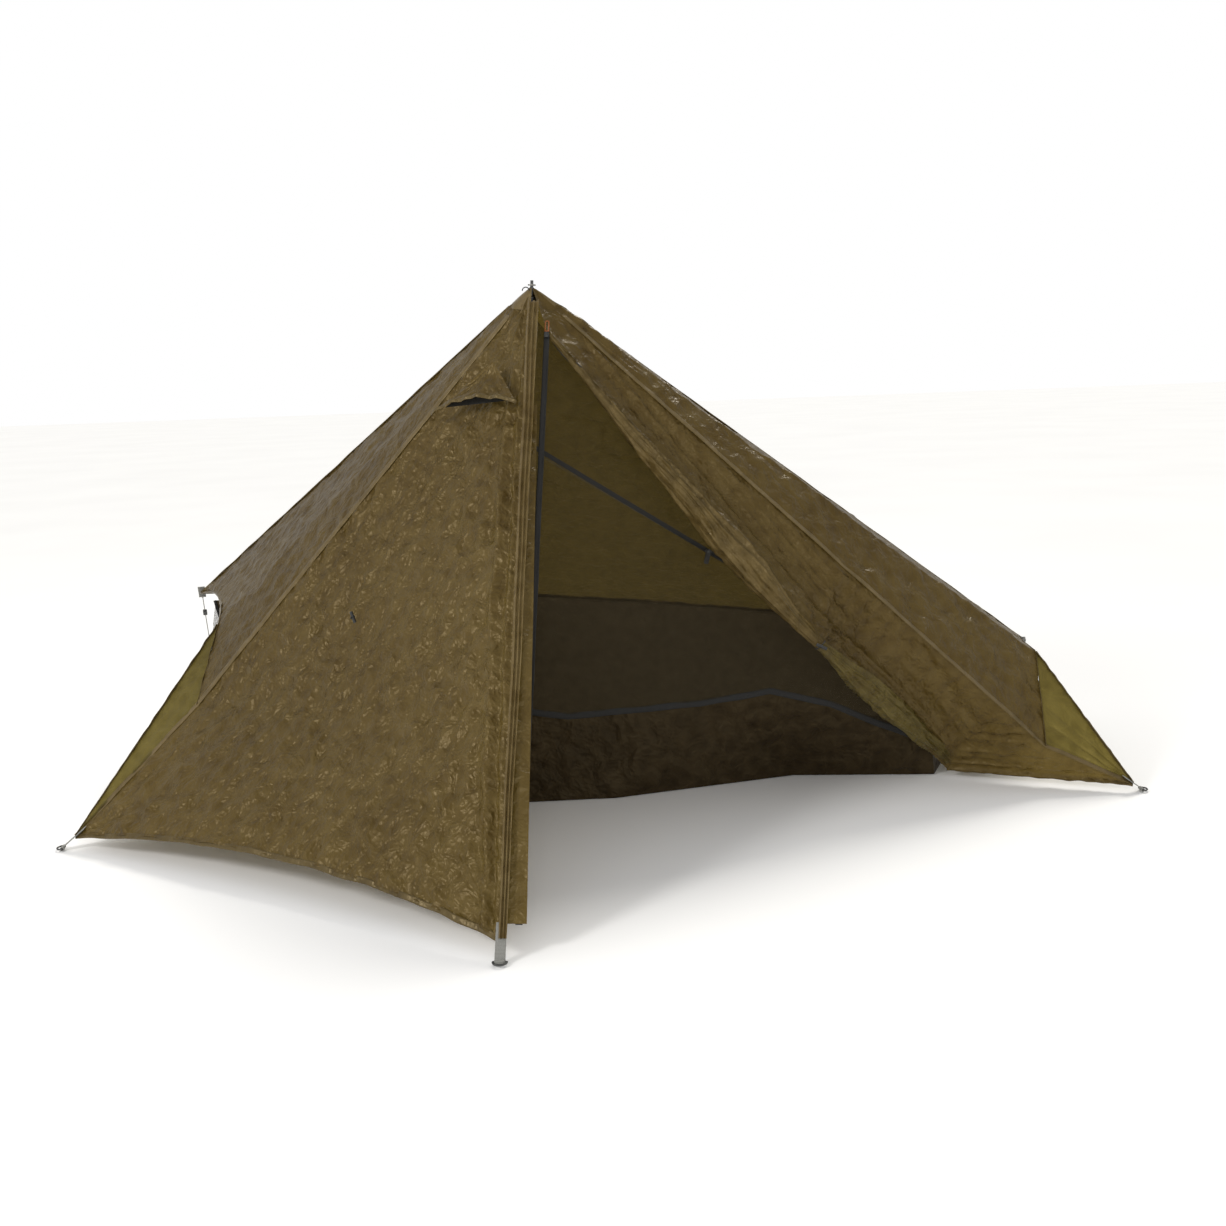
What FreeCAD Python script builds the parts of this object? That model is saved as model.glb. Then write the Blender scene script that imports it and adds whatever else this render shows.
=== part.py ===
"""One-person tent held up by a single pole, pitched with its door rolled open.

The frame: millimetres, +Z up, +X along the sleeper, +Y to the back, the origin under the foot of
the pole.  The canopy is a pyramid of sewn panels with a wing at each end, a zipped vestibule in
front, a mesh inner wall with its own zip, and a tub floor.  Fabric panels are thin plates between
named corners; the pole, its clamps, zip sliders, toggles, rings and line tensioners are solids.
"""
import FreeCAD, Part
import math
import os
import Sketcher
from FreeCAD import Placement, Rotation, Vector

doc = FreeCAD.newDocument("single_pole_tent")
sheet = doc.addObject("Spreadsheet::Sheet", "dims")
next_row = 1


def keep(name, value, note=""):
    """Writes one driving value to the sheet, under its own alias."""
    global next_row
    sheet.set("A%d" % next_row, note or name)
    sheet.set("B%d" % next_row, str(value))
    sheet.setAlias("B%d" % next_row, name)
    next_row += 1


SIZES = {
    # overall sizes, which stretch the whole pattern of the canopy, mesh and floor
    "pitch_length": 2520, "pitch_depth": 1662, "peak_height": 1250,
    # the sizes that the pattern below was drawn at
    "drawn_length": 2520, "drawn_depth": 1662, "drawn_height": 1250,
    # fabric
    "canopy_ply": 2.0, "mesh_ply": 1.2, "floor_ply": 2.5, "flap_ply": 1.4,
    "flap_width": 26, "flap_back": 8, "facing_width": 24, "facing_flare": 46,
    "flap_start": 45, "facing_start": 320, "roll_start": 26,
    "flap_lift": 4.0, "tape_depth": 22,
    "front_hem_rise": 55, "rear_hem_rise": 75, "end_hem_rise": 42,
    # zips
    "zip_tape_width": 13, "zip_tape_ply": 1.2, "inner_zip_width": 11,
    "slider_length": 15, "slider_width": 10, "slider_height": 5, "slider_gap": 0.6,
    "slider_rest": 504, "pull_bend": 4.0, "pull_reach": 24, "pull_lift": 1.8,
    "tag_length": 38, "tag_width": 12, "tag_ply": 2.4, "tag_hole": 2.0, "tag_neck": 7,
    # corner straps and the rings that pegs go through
    "strap_width": 20, "strap_ply": 2.0, "strap_eye": 4.2, "ring_wire": 2.0,
    "ring_reach": 13, "ring_clearance": 0.5,
    # pole
    "upper_tube": 18.4, "middle_tube": 16.0, "lower_tube": 13.6, "tube_wall": 0.8,
    "tube_overlap": 80, "lower_show": 400, "middle_show": 420, "foot_radius": 12,
    "foot_height": 34, "foot_seat": 12, "plug_height": 14, "spike_radius": 3.5,
    "spike_above_peak": 13, "shoulder_drop": 26,
    # clamps on the pole
    "clamp_wall": 3.2, "clamp_height": 26, "lever_height": 17, "lever_gap": 0.8,
    "lever_ply": 2.4, "lever_sweep": 135, "hinge_pin": 1.5, "hinge_play": 0.3,
    "knuckle_wall": 1.9,
    # toggles and small loops
    "toggle_radius": 3.6, "toggle_length": 26, "toggle_lift": 7.0, "cord_loop_wire": 1.2,
    "toggle_knot": 2.4, "ridge_loop": 9, "peak_loop": 8,
    "roll_neck": 13, "roll_belly": 36, "tail_belly": 30,
    # peak fittings
    "peak_patch": 70, "grommet_radius": 9, "grommet_ply": 3.0, "grommet_play": 0.35,
    # rear guy lines
    "line_radius": 1.25, "line_sag": 14, "knot_radius": 4.0, "peg_loop": 12,
    "tensioner_length": 22, "tensioner_width": 12, "tensioner_height": 8,
    "tensioner_play": 0.6, "tensioner_rest": 90, "rear_strap_reach": 22, "strap_sewn": 30,
}
for size_name, size_value in SIZES.items():
    keep(size_name, size_value)

# The pattern: each corner where panels meet, at the drawn size.
PATTERN = {
    "foot": (0, 0, 0), "peak": (90, 0, 1250),
    # canopy corners: front, side corners, end seams, wing tops, rear corners
    "front": (37, -850, 38), "left": (-1020, -209, 30), "right": (1500, -39, 20),
    "left_seam": (-781, 0, 283), "right_seam": (1300, 0, 109),
    "left_wing": (-777, 200, 443), "right_wing": (1317, 150, 313),
    "left_rear": (-1002, 760, 441), "right_rear": (1450, 700, 225),
    # the opened right half of the door
    "zip_top": (123, -50, 1144), "roll_tie": (728, -140, 412), "roll_hem": (1088, 118, 22),
    # mesh inner wall, which stands just behind the pole
    "mesh_peak": (90, 32, 1180), "mesh_low": (30, 42, 222), "mesh_left": (-752, 8, 205),
    "mesh_left_top": (-764, 16, 268), "mesh_right": (1052, 134, 82),
    "diagonal_left": (70, 34, 890), "diagonal_right": (711, 96, 468),
    # top of the tub's front wall, which the lower zip follows
    "sill_1": (127, 50, 204), "sill_2": (458, 82, 218), "sill_3": (636, 99, 240),
    "sill_4": (789, 112, 198), "sill_5": (918, 124, 137),
    # tub floor
    "floor_left_front": (-752, 0, 0), "floor_mid_front": (23, 20, 0),
    "floor_bulge_front": (240, 31, 0),
    "floor_step_front": (700, 168, 0), "floor_right_front": (1060, 140, 0),
    "floor_right_rear": (1300, 700, 0), "floor_left_rear": (-880, 770, 0),
    # tops of the tub's other walls
    "tub_left_rear": (-885, 745, 150), "tub_right_rear": (1322, 690, 120),
    "rear_wall_left": (-958, 742, 418), "rear_wall_mid_left": (-20, 738, 408),
    "rear_wall_mid_right": (728, 712, 344), "rear_wall_right": (1395, 686, 218),
    # vent hood and small fittings on the left front panel
    "vent_left": (-150, -60, 968), "vent_right": (62, -176, 985), "vent_top": (8, -92, 1075),
    "left_toggle": (-315, -271, 541), "left_loop": (-423, 0, 656), "right_loop": (825, 0, 530),
    # where the pegs of the rear guy lines stand
    "left_peg": (-1160, 1290, 0), "right_peg": (1640, 1240, 0),
}
for spot_name, spot in PATTERN.items():
    for axis_name, coordinate in zip(("along", "back", "high"), spot):
        keep("%s_%s" % (spot_name, axis_name), coordinate)
doc.recompute()


def size(name):
    return float(sheet.get(name))


STRETCH = Vector(size("pitch_length") / size("drawn_length"),
                 size("pitch_depth") / size("drawn_depth"),
                 size("peak_height") / size("drawn_height"))


def at(name):
    """A corner of the pattern, stretched to the overall sizes.  A point passes straight through."""
    if isinstance(name, Vector):
        return name
    return Vector(float(sheet.get(name + "_along")) * STRETCH.x,
                  float(sheet.get(name + "_back")) * STRETCH.y,
                  float(sheet.get(name + "_high")) * STRETCH.z)


pieces = []


def finish(piece, label):
    """Gives a sub-part its own name and lists it for writing."""
    piece.Label = label
    pieces.append(piece)
    return piece


def feature(label, shape):
    piece = doc.addObject("Part::Feature", label)
    piece.Shape = shape
    return finish(piece, label)


def group(label, *members):
    """Like pieces that share one file: they leave the list and come back as one compound."""
    for member in members:
        pieces.remove(member)
    compound = doc.addObject("Part::Compound", label)
    compound.Links = list(members)
    return finish(compound, label)


def facing(x_axis, z_hint):
    """The rotation whose X runs along x_axis and whose Z is as near z_hint as it can be."""
    x_axis = Vector(x_axis).normalize()
    y_axis = Vector(z_hint).cross(x_axis).normalize()
    z_axis = x_axis.cross(y_axis)
    return Rotation(x_axis, y_axis, z_axis, "XYZ")


# ---------------------------------------------------------------- sewn panels
INSIDE = (at("floor_mid_front") + at("floor_left_rear") + at("floor_right_rear")) * (1 / 3.0)
INSIDE.z = size("peak_height") * 0.2


foot = at("foot")
peak = at("peak")
pole_way = (peak - foot).normalize()
pole_turn = Rotation(Vector(0, 0, 1), pole_way)
spike_hole = size("spike_radius") + size("grommet_play")


def panel(label, facets, ply, arches=(), towards=None):
    """A sheet of flat facets, each a list of corners, all pushed one ply towards the inside.

    arches holds (corner, corner, rise): that edge is an arc that rises into the sheet.
    A sheet that reaches the peak has the hole that the pole's spike passes through.
    """
    corners = [[at(name) for name in facet] for facet in facets]
    push = Vector()
    for points in corners:
        push += (points[1] - points[0]).cross(points[2] - points[0])
    push.normalize()
    middle = sum((p for points in corners for p in points), Vector())
    middle = middle * (1.0 / sum(len(points) for points in corners))
    if towards is None:
        towards = INSIDE - middle
    if push.dot(towards) < 0:
        push = push * -1
    plates = []
    for facet, points in zip(facets, corners):
        edges = []
        for i, name in enumerate(facet):
            j = (i + 1) % len(facet)
            rise = [a[2] for a in arches if name in a[:2] and facet[j] in a[:2]]
            start, end = points[i], points[j]
            if rise:
                centre = (start + end) * 0.5
                along = (end - start).normalize()
                others = [p for k, p in enumerate(points) if k not in (i, j)]
                inward = others[0] - centre
                inward = (inward - along * inward.dot(along)).normalize()
                edges.append(Part.Arc(start, centre + inward * rise[0], end).toShape())
            else:
                edges.append(Part.makeLine(start, end))
        face = Part.Face(Part.Wire(Part.__sortEdges__(edges)))
        plates.append(face.extrude(push * ply))
    shape = plates[0]
    if len(plates) > 1:
        shape = plates[0].multiFuse(plates[1:]).removeSplitter()
    if any(name == "peak" for facet in facets for name in facet):
        drill = Part.makeCylinder(spike_hole, 200, peak - pole_way * 100, pole_way)
        shape = shape.cut(drill)
    return feature(label, shape.Solids[0])


canopy_ply = size("canopy_ply")
mesh_ply = size("mesh_ply")
floor_ply = size("floor_ply")

panel("left_door_panel", [["peak", "front", "left_seam"], ["front", "left", "left_seam"]],
      canopy_ply, [("front", "left", size("front_hem_rise"))])
panel("left_end_panel", [["peak", "left_seam", "left_wing"], ["peak", "left_wing", "left_rear"]],
      canopy_ply, [("left_wing", "left_rear", size("end_hem_rise"))])
panel("left_wing_panel", [["left", "left_wing", "left_seam"]], canopy_ply)
panel("rear_panel", [["peak", "left_rear", "right_rear"]], canopy_ply,
      [("left_rear", "right_rear", size("rear_hem_rise"))])
panel("right_end_panel", [["peak", "right_wing", "right_seam"],
                          ["peak", "right_rear", "right_wing"]],
      canopy_ply, [("right_wing", "right_rear", size("end_hem_rise"))])
panel("right_wing_panel", [["right", "right_seam", "right_wing"]], canopy_ply)
panel("right_door_panel", [["peak", "roll_tie", "zip_top"],
                           ["peak", "right_seam", "roll_tie"],
                           ["roll_tie", "right_seam", "roll_hem"],
                           ["roll_hem", "right_seam", "right"]], canopy_ply)

# ---------------------------------------------------------------- mesh inner wall
panel("mesh_wall_left", [["mesh_peak", "mesh_left_top", "mesh_low"],
                         ["mesh_left_top", "mesh_left", "mesh_low"]],
      mesh_ply, towards=Vector(0, 1, 0))
panel("mesh_top_panel", [["mesh_peak", "diagonal_left", "diagonal_right"]],
      mesh_ply, towards=Vector(0, 1, 0))
left_mesh_end = panel("mesh_end_left", [["mesh_left", "mesh_left_top", "rear_wall_left"],
                                        ["mesh_left", "rear_wall_left", "tub_left_rear"]],
                      mesh_ply, towards=Vector(1, 0, 0))
right_mesh_end = panel("mesh_end_right", [["mesh_right", "rear_wall_right", "tub_right_rear"]],
                       mesh_ply, towards=Vector(-1, 0, 0))
group("mesh_end_gussets", left_mesh_end, right_mesh_end)

# ---------------------------------------------------------------- tub floor
panel("floor_sheet", [["floor_left_front", "floor_mid_front", "floor_bulge_front",
                       "floor_step_front",
                       "floor_right_front", "floor_right_rear", "floor_left_rear"]],
      floor_ply, towards=Vector(0, 0, 1))


def chain(low, high):
    """Triangles between two rows of corners that have the same number of points."""
    facets = []
    for i in range(len(low) - 1):
        facets.append([low[i], low[i + 1], high[i]])
        facets.append([low[i + 1], high[i + 1], high[i]])
    return facets


sill = ["mesh_low", "sill_1", "sill_2", "sill_3", "sill_4", "sill_5", "mesh_right"]
BACK = Vector(0, 1, 0)
inner_zip_width = size("inner_zip_width")
zip_top_row = [at(name) + Vector(0, 0, inner_zip_width) for name in sill]

front_wall = [["floor_left_front", "floor_mid_front", "mesh_left"],
              ["floor_mid_front", "mesh_low", "mesh_left"],
              ["floor_mid_front", "sill_1", "mesh_low"],
              ["floor_mid_front", "floor_bulge_front", "sill_1"],
              ["floor_bulge_front", "sill_2", "sill_1"],
              ["floor_bulge_front", "floor_step_front", "sill_2"],
              ["floor_step_front", "sill_3", "sill_2"],
              ["floor_step_front", "sill_4", "sill_3"],
              ["floor_step_front", "sill_5", "sill_4"],
              ["floor_step_front", "floor_right_front", "sill_5"],
              ["floor_right_front", "mesh_right", "sill_5"]]
panel("tub_wall_front", front_wall, floor_ply, towards=BACK)
left_wall = panel("tub_wall_left", [["floor_left_front", "mesh_left", "tub_left_rear"],
                                    ["floor_left_front", "tub_left_rear", "floor_left_rear"]],
                  floor_ply, towards=Vector(1, 0, 0))
right_wall = panel("tub_wall_right",
                   [["floor_right_front", "mesh_right", "tub_right_rear"],
                    ["floor_right_front", "tub_right_rear", "floor_right_rear"]],
                   floor_ply, towards=Vector(-1, 0, 0))
group("tub_end_walls", left_wall, right_wall)
panel("tub_wall_rear", [["floor_left_rear", "floor_right_rear", "rear_wall_mid_left"],
                        ["floor_right_rear", "rear_wall_mid_right", "rear_wall_mid_left"],
                        ["floor_right_rear", "rear_wall_right", "rear_wall_mid_right"],
                        ["floor_left_rear", "rear_wall_mid_left", "rear_wall_left"]],
      floor_ply, towards=Vector(0, -1, 0))

# ---------------------------------------------------------------- inner zip and mesh door
diagonal_way = (at("diagonal_right") - at("diagonal_left")).normalize()
upright_way = (at("mesh_low") - at("mesh_peak")).normalize()
wall_normal = diagonal_way.cross(upright_way).normalize()
if wall_normal.y > 0:
    wall_normal = wall_normal * -1
down_tape = (wall_normal.cross(diagonal_way)).normalize()
if down_tape.z > 0:
    down_tape = down_tape * -1

diagonal_low_left = at("diagonal_left") + down_tape * inner_zip_width
diagonal_low_right = at("diagonal_right") + down_tape * inner_zip_width
side_step = upright_way.cross(wall_normal).normalize()
if side_step.x < 0:
    side_step = side_step * -1
side_top = diagonal_low_left + diagonal_way * (inner_zip_width / diagonal_way.dot(side_step))
side_low = zip_top_row[0] + side_step * inner_zip_width

panel("inner_zip_diagonal", [["diagonal_left", "diagonal_right", diagonal_low_right],
                             ["diagonal_left", diagonal_low_right, diagonal_low_left]],
      mesh_ply, towards=BACK)
panel("inner_zip_upright", [[diagonal_low_left, side_top, side_low],
                            [diagonal_low_left, side_low, zip_top_row[0]]],
      mesh_ply, towards=BACK)
panel("inner_zip_sill", chain(sill, zip_top_row), mesh_ply, towards=BACK)

door_row = [side_low] + zip_top_row[1:]
door_facets = [[diagonal_low_right, side_top, door_row[0]]]
for i in range(len(door_row) - 1):
    door_facets.append([diagonal_low_right, door_row[i], door_row[i + 1]])
panel("mesh_door", door_facets, mesh_ply, towards=BACK)

# ---------------------------------------------------------------- front zip, flap and facing
seam_way = (at("front") - peak).normalize()
seam_side = seam_way.cross(Vector(0, 1, 0)).normalize()
if seam_side.x < 0:
    seam_side = seam_side * -1
seam_out = seam_side.cross(seam_way).normalize()
if seam_out.y > 0:
    seam_out = seam_out * -1
seam_length = (at("front") - peak).Length


def beside_seam(along, side, out):
    """A point by the front seam: along it from the peak, to its right, and outwards from it."""
    return peak + seam_way * along + seam_side * side + seam_out * out


def strip(label, start, stop, ply, towards):
    """A flat tape between two edges, each a pair of points."""
    return panel(label, [[start[0], start[1], stop[1]], [start[0], stop[1], stop[0]]],
                 ply, towards=towards)


flap_lift = size("flap_lift")
flap_start = size("flap_start")
flap_taper = 0.6
flap_left = -size("flap_back")
flap_right = flap_left + size("flap_width")
strip("storm_flap",
      (beside_seam(flap_start, flap_left, flap_lift), beside_seam(flap_start, flap_right, flap_lift)),
      (beside_seam(seam_length, flap_left * flap_taper, flap_lift),
       beside_seam(seam_length, flap_right * flap_taper, flap_lift)),
      size("flap_ply"), seam_out)
facing_start = size("facing_start")
strip("zip_facing",
      (beside_seam(facing_start, 0, 0), beside_seam(facing_start, size("facing_width"), 0)),
      (beside_seam(seam_length - 25, 0, 0),
       beside_seam(seam_length - 25, size("facing_flare"), 0)),
      size("flap_ply"), seam_out * -1)

zip_top = at("zip_top")
tape_depth = size("tape_depth")
tape_width = size("zip_tape_width")
tape_ply = size("zip_tape_ply")
zip_foot = beside_seam(seam_length - 30, size("facing_width"), -tape_depth)
zip_way = (zip_foot - zip_top).normalize()
zip_side = zip_way.cross(seam_out).normalize()
if zip_side.x < 0:
    zip_side = zip_side * -1
zip_out = zip_side.cross(zip_way).normalize()
if zip_out.y > 0:
    zip_out = zip_out * -1
strip("front_zip_left_tape",
      (zip_top - zip_side * tape_width * 0.5, zip_top + zip_side * tape_width * 0.5),
      (zip_foot - zip_side * tape_width * 0.5, zip_foot + zip_side * tape_width * 0.5),
      tape_ply, zip_out * -1)
roll_tie = at("roll_tie")
roll_way = (roll_tie - zip_top).normalize()
roll_side = roll_way.cross(Vector(0, 1, 0)).normalize()
if roll_side.z > 0:
    roll_side = roll_side * -1
roll_start = zip_top + roll_way * size("roll_start")
strip("front_zip_right_tape", (roll_start, roll_start + roll_side * tape_width),
      (roll_tie, roll_tie + roll_side * tape_width), tape_ply, Vector(0, -1, 0))

# ---------------------------------------------------------------- the rolled half of the door


def cone_between(start, stop, start_radius, stop_radius):
    way = stop - start
    return Part.makeCone(start_radius, stop_radius, way.Length, start, way)


roll_neck = size("roll_neck")
roll_belly_share = 0.72
belly_at = roll_start + (roll_tie - roll_start) * roll_belly_share
roll = cone_between(roll_start, belly_at, roll_neck * 0.5, size("roll_belly"))
roll = roll.fuse(cone_between(belly_at, roll_tie, size("roll_belly"), roll_neck))
roll_hem = at("roll_hem") + Vector(0, -6, size("tail_belly") * 0.9)
tail_mid = roll_tie + (roll_hem - roll_tie) * 0.5
tail = cone_between(roll_tie, tail_mid, roll_neck, size("tail_belly"))
tail = tail.fuse(cone_between(tail_mid, roll_hem, size("tail_belly"), size("tail_belly") * 0.6))
feature("door_roll", roll.fuse(tail).Solids[0])

# ---------------------------------------------------------------- peak patch and vent
patch = size("peak_patch")
ridge_ends = ["front", "right_seam", "right_wing", "right_rear", "left_rear", "left_wing",
              "left_seam"]
ridge_spots = [peak + (at(name) - peak).normalize() * patch for name in ridge_ends]
patch_facets = [["peak", ridge_spots[i], ridge_spots[(i + 1) % len(ridge_spots)]]
                for i in range(len(ridge_spots)) if i != 0]
panel("peak_patch", patch_facets, canopy_ply, towards=Vector(0, 0, 1))
vent_normal = (at("front") - peak).cross(at("left") - peak).normalize()
if vent_normal.y > 0:
    vent_normal = vent_normal * -1
vent_lift = vent_normal * 12
panel("vent_hood", [[at("vent_left"), at("vent_right") + vent_lift, at("vent_top") + vent_lift]],
      size("flap_ply"), towards=vent_normal)
vent_centre = (at("vent_left") + at("vent_right") + at("vent_top")) * (1 / 3.0)
vent_net = [vent_centre + (at(name) - vent_centre) * 0.7 + vent_normal * 4
            for name in ("vent_left", "vent_right", "vent_top")]
panel("vent_mesh", [vent_net], mesh_ply, towards=vent_normal)


# ---------------------------------------------------------------- parametric pieces


def value(expression):
    """What an expression over the sheet comes to."""
    return float(sheet.evalExpression(expression))


def bind(piece, **sizes):
    """Binds properties to expressions over the sheet; lift stands for the placement's height."""
    for prop, expression in sizes.items():
        if prop in ("shift", "side", "lift"):
            axis_name = {"shift": "x", "side": "y", "lift": "z"}[prop]
            prop = "Placement.Base." + axis_name
        piece.setExpression(prop, expression)
    return piece


def primitive(kind, name, **sizes):
    return bind(doc.addObject("Part::" + kind, name), **sizes)


def subtract(name, base, tool):
    piece = doc.addObject("Part::Cut", name)
    piece.Base = base
    piece.Tool = tool
    return piece


def join(name, *parts):
    piece = doc.addObject("Part::MultiFuse", name)
    piece.Shapes = list(parts)
    return piece


def outline(body, plane, corners):
    """A closed sketch on one of the body's own planes; each corner is a pair of expressions."""
    sketch = body.newObject("Sketcher::SketchObject", body.Name + "_sketch")
    origin = [item for item in body.Origin.OriginFeatures if item.Role == plane][0]
    sketch.AttachmentSupport = [(origin, "")]
    sketch.MapMode = "FlatFace"
    spots = [Vector(value(x), value(y), 0) for x, y in corners]
    for i, spot in enumerate(spots):
        sketch.addGeometry(Part.LineSegment(spot, spots[(i + 1) % len(spots)]), False)
    for i in range(len(spots)):
        sketch.addConstraint(Sketcher.Constraint("Coincident", i, 2, (i + 1) % len(spots), 1))
    for i, (x, y) in enumerate(corners):
        if abs(spots[i].x) < 1e-9:
            sketch.addConstraint(Sketcher.Constraint("PointOnObject", i, 1, -2))
        else:
            row = sketch.addConstraint(
                Sketcher.Constraint("DistanceX", -1, 1, i, 1, spots[i].x))
            sketch.setExpression("Constraints[%d]" % row, x)
        if abs(spots[i].y) < 1e-9:
            sketch.addConstraint(Sketcher.Constraint("PointOnObject", i, 1, -1))
        else:
            row = sketch.addConstraint(
                Sketcher.Constraint("DistanceY", -1, 1, i, 1, spots[i].y))
            sketch.setExpression("Constraints[%d]" % row, y)
    return sketch


def turned(label, profile):
    """A body turned about its own Z from a profile of (radius, height) expressions."""
    body = doc.addObject("PartDesign::Body", label)
    sketch = outline(body, "XZ_Plane", profile)
    turn = body.newObject("PartDesign::Revolution", label + "_turn")
    turn.Profile = sketch
    turn.ReferenceAxis = (sketch, ["V_Axis"])
    turn.Angle = 360
    doc.recompute()
    return body


def block(label, length, width, height, rounding):
    """A body padded up from a centred rectangle, with its standing edges rounded."""
    body = doc.addObject("PartDesign::Body", label)
    half_x = "(%s) / 2" % length
    half_y = "(%s) / 2" % width
    sketch = outline(body, "XY_Plane", [("-" + half_x, "-" + half_y), (half_x, "-" + half_y),
                                        (half_x, half_y), ("-" + half_x, half_y)])
    pad = body.newObject("PartDesign::Pad", label + "_pad")
    pad.Profile = sketch
    pad.setExpression("Length", height)
    doc.recompute()
    standing = ["Edge%d" % (i + 1) for i, edge in enumerate(pad.Shape.Edges)
                if abs(edge.tangentAt(edge.FirstParameter).z) > 0.99]
    fillet = body.newObject("PartDesign::Fillet", label + "_fillet")
    fillet.Base = (pad, standing)
    fillet.setExpression("Radius", rounding)
    doc.recompute()
    return body


def put(piece, label, place, turn=Rotation()):
    """Places a finished piece in the row's frame and lists it."""
    piece.Placement = Placement(place, turn)
    return finish(piece, label)


# ---------------------------------------------------------------- pole
POLE_LENGTH = ("sqrt((dims.peak_along * dims.pitch_length / dims.drawn_length)^2"
               " + (dims.peak_high * dims.peak_height / dims.drawn_height)^2)")
MIDDLE_START = "dims.lower_show"
UPPER_START = "(dims.lower_show + dims.middle_show)"
POLE_TOP = "(%s - dims.shoulder_drop)" % POLE_LENGTH


def along_pole(expression):
    return foot + pole_way * value(expression)


def tube(label, diameter, start, stop):
    """A length of pole tube, open at both ends."""
    outer = primitive("Cylinder", label + "_skin", Radius="%s / 2" % diameter,
                      Height="%s - %s" % (stop, start))
    inner = primitive("Cylinder", label + "_bore", Radius="%s / 2 - dims.tube_wall" % diameter,
                      Height="%s - %s + 2" % (stop, start), lift="-1")
    return put(subtract(label, outer, inner), label, along_pole(start), pole_turn)


tube("pole_upper_tube", "dims.upper_tube", UPPER_START, POLE_TOP)
tube("pole_middle_tube", "dims.middle_tube", MIDDLE_START, UPPER_START + " + dims.tube_overlap")
tube("pole_lower_tube", "dims.lower_tube", "dims.foot_seat", MIDDLE_START + " + dims.tube_overlap")

foot_body = turned("pole_foot_body", [
    ("0", "0"), ("dims.foot_radius", "0"), ("dims.foot_radius", "dims.foot_seat"),
    ("dims.lower_tube / 2 + dims.clamp_wall", "dims.foot_height"), ("0", "dims.foot_height")])
foot_bore = primitive("Cylinder", "pole_foot_bore", Radius="dims.lower_tube / 2",
                      Height="dims.foot_height")
foot_bore.Placement = Placement(along_pole("dims.foot_seat"), pole_turn)
finish(subtract("pole_foot", foot_body, foot_bore), "pole_foot")

tip_profile = [
    ("0", "-dims.plug_height"), ("dims.upper_tube / 2 - dims.tube_wall", "-dims.plug_height"),
    ("dims.upper_tube / 2 - dims.tube_wall", "0"), ("dims.upper_tube / 2", "0"),
    ("dims.upper_tube / 2", "dims.tube_wall"), ("dims.spike_radius", "dims.plug_height * 0.4"),
    ("dims.spike_radius", "dims.shoulder_drop + dims.spike_above_peak"),
    ("0", "dims.shoulder_drop + dims.spike_above_peak")]
put(turned("pole_tip", tip_profile), "pole_tip", along_pole(POLE_TOP), pole_turn)

# ---------------------------------------------------------------- flip clamps on the pole
CLAMPS = [("upper", "dims.upper_tube", UPPER_START), ("middle", "dims.middle_tube", MIDDLE_START)]
KNUCKLE = "(dims.hinge_pin + dims.hinge_play + dims.knuckle_wall)"
pin_places = {}
for clamp_name, bore, start in CLAMPS:
    outside = "(%s / 2 + dims.clamp_wall)" % bore
    pivot = "(%s + dims.lever_gap + %s)" % (outside, KNUCKLE)
    collar = clamp_name + "_clamp_collar"
    ring_part = primitive("Cylinder", collar + "_ring", Radius=outside, Height="dims.clamp_height")
    lug_height = "((dims.clamp_height - dims.lever_height) / 2 - dims.lever_gap)"
    lugs = []
    for lug_name, lug_lift in (("low", "0"), ("high", "dims.clamp_height - " + lug_height)):
        arm = primitive("Box", collar + "_arm_" + lug_name, Length=pivot,
                        Width="2 * " + KNUCKLE, Height=lug_height, shift="-" + pivot,
                        side="-" + KNUCKLE, lift=lug_lift)
        nose = primitive("Cylinder", collar + "_nose_" + lug_name, Radius=KNUCKLE,
                         Height=lug_height, shift="-" + pivot, lift=lug_lift)
        lugs += [arm, nose]
    pin = primitive("Cylinder", collar + "_pin", Radius="dims.hinge_pin",
                    Height="dims.clamp_height", shift="-" + pivot)
    solid = join(collar + "_solid", ring_part, pin, *lugs)
    hollow = primitive("Cylinder", collar + "_hollow", Radius=bore + " / 2",
                       Height="dims.clamp_height + 2", lift="-1")
    put(subtract(collar, solid, hollow), collar, along_pole(start), pole_turn)

    lever = clamp_name + "_clamp_lever"
    lever_inner = outside + " + dims.lever_gap"
    band = primitive("Cylinder", lever + "_band", Radius=lever_inner + " + dims.lever_ply",
                     Height="dims.lever_height", Angle="dims.lever_sweep")
    band.Placement = Placement(Vector(), Rotation(Vector(0, 0, 1), 180))
    hole = primitive("Cylinder", lever + "_hole", Radius=lever_inner,
                     Height="dims.lever_height + 2", lift="-1")
    barrel = primitive("Cylinder", lever + "_barrel", Radius=KNUCKLE, Height="dims.lever_height",
                       shift="-" + pivot)
    eye = primitive("Cylinder", lever + "_eye", Radius="dims.hinge_pin + dims.hinge_play",
                    Height="dims.lever_height + 2", shift="-" + pivot, lift="-1")
    arc = subtract(lever + "_arc", band, hole)
    whole = join(lever + "_whole", arc, barrel)
    lever_start = start + " + (dims.clamp_height - dims.lever_height) / 2"
    put(subtract(lever, whole, eye), lever, along_pole(lever_start), pole_turn)
    pin_places[clamp_name] = along_pole(start) + pole_turn.multVec(Vector(-value(pivot), 0, 0))

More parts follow.
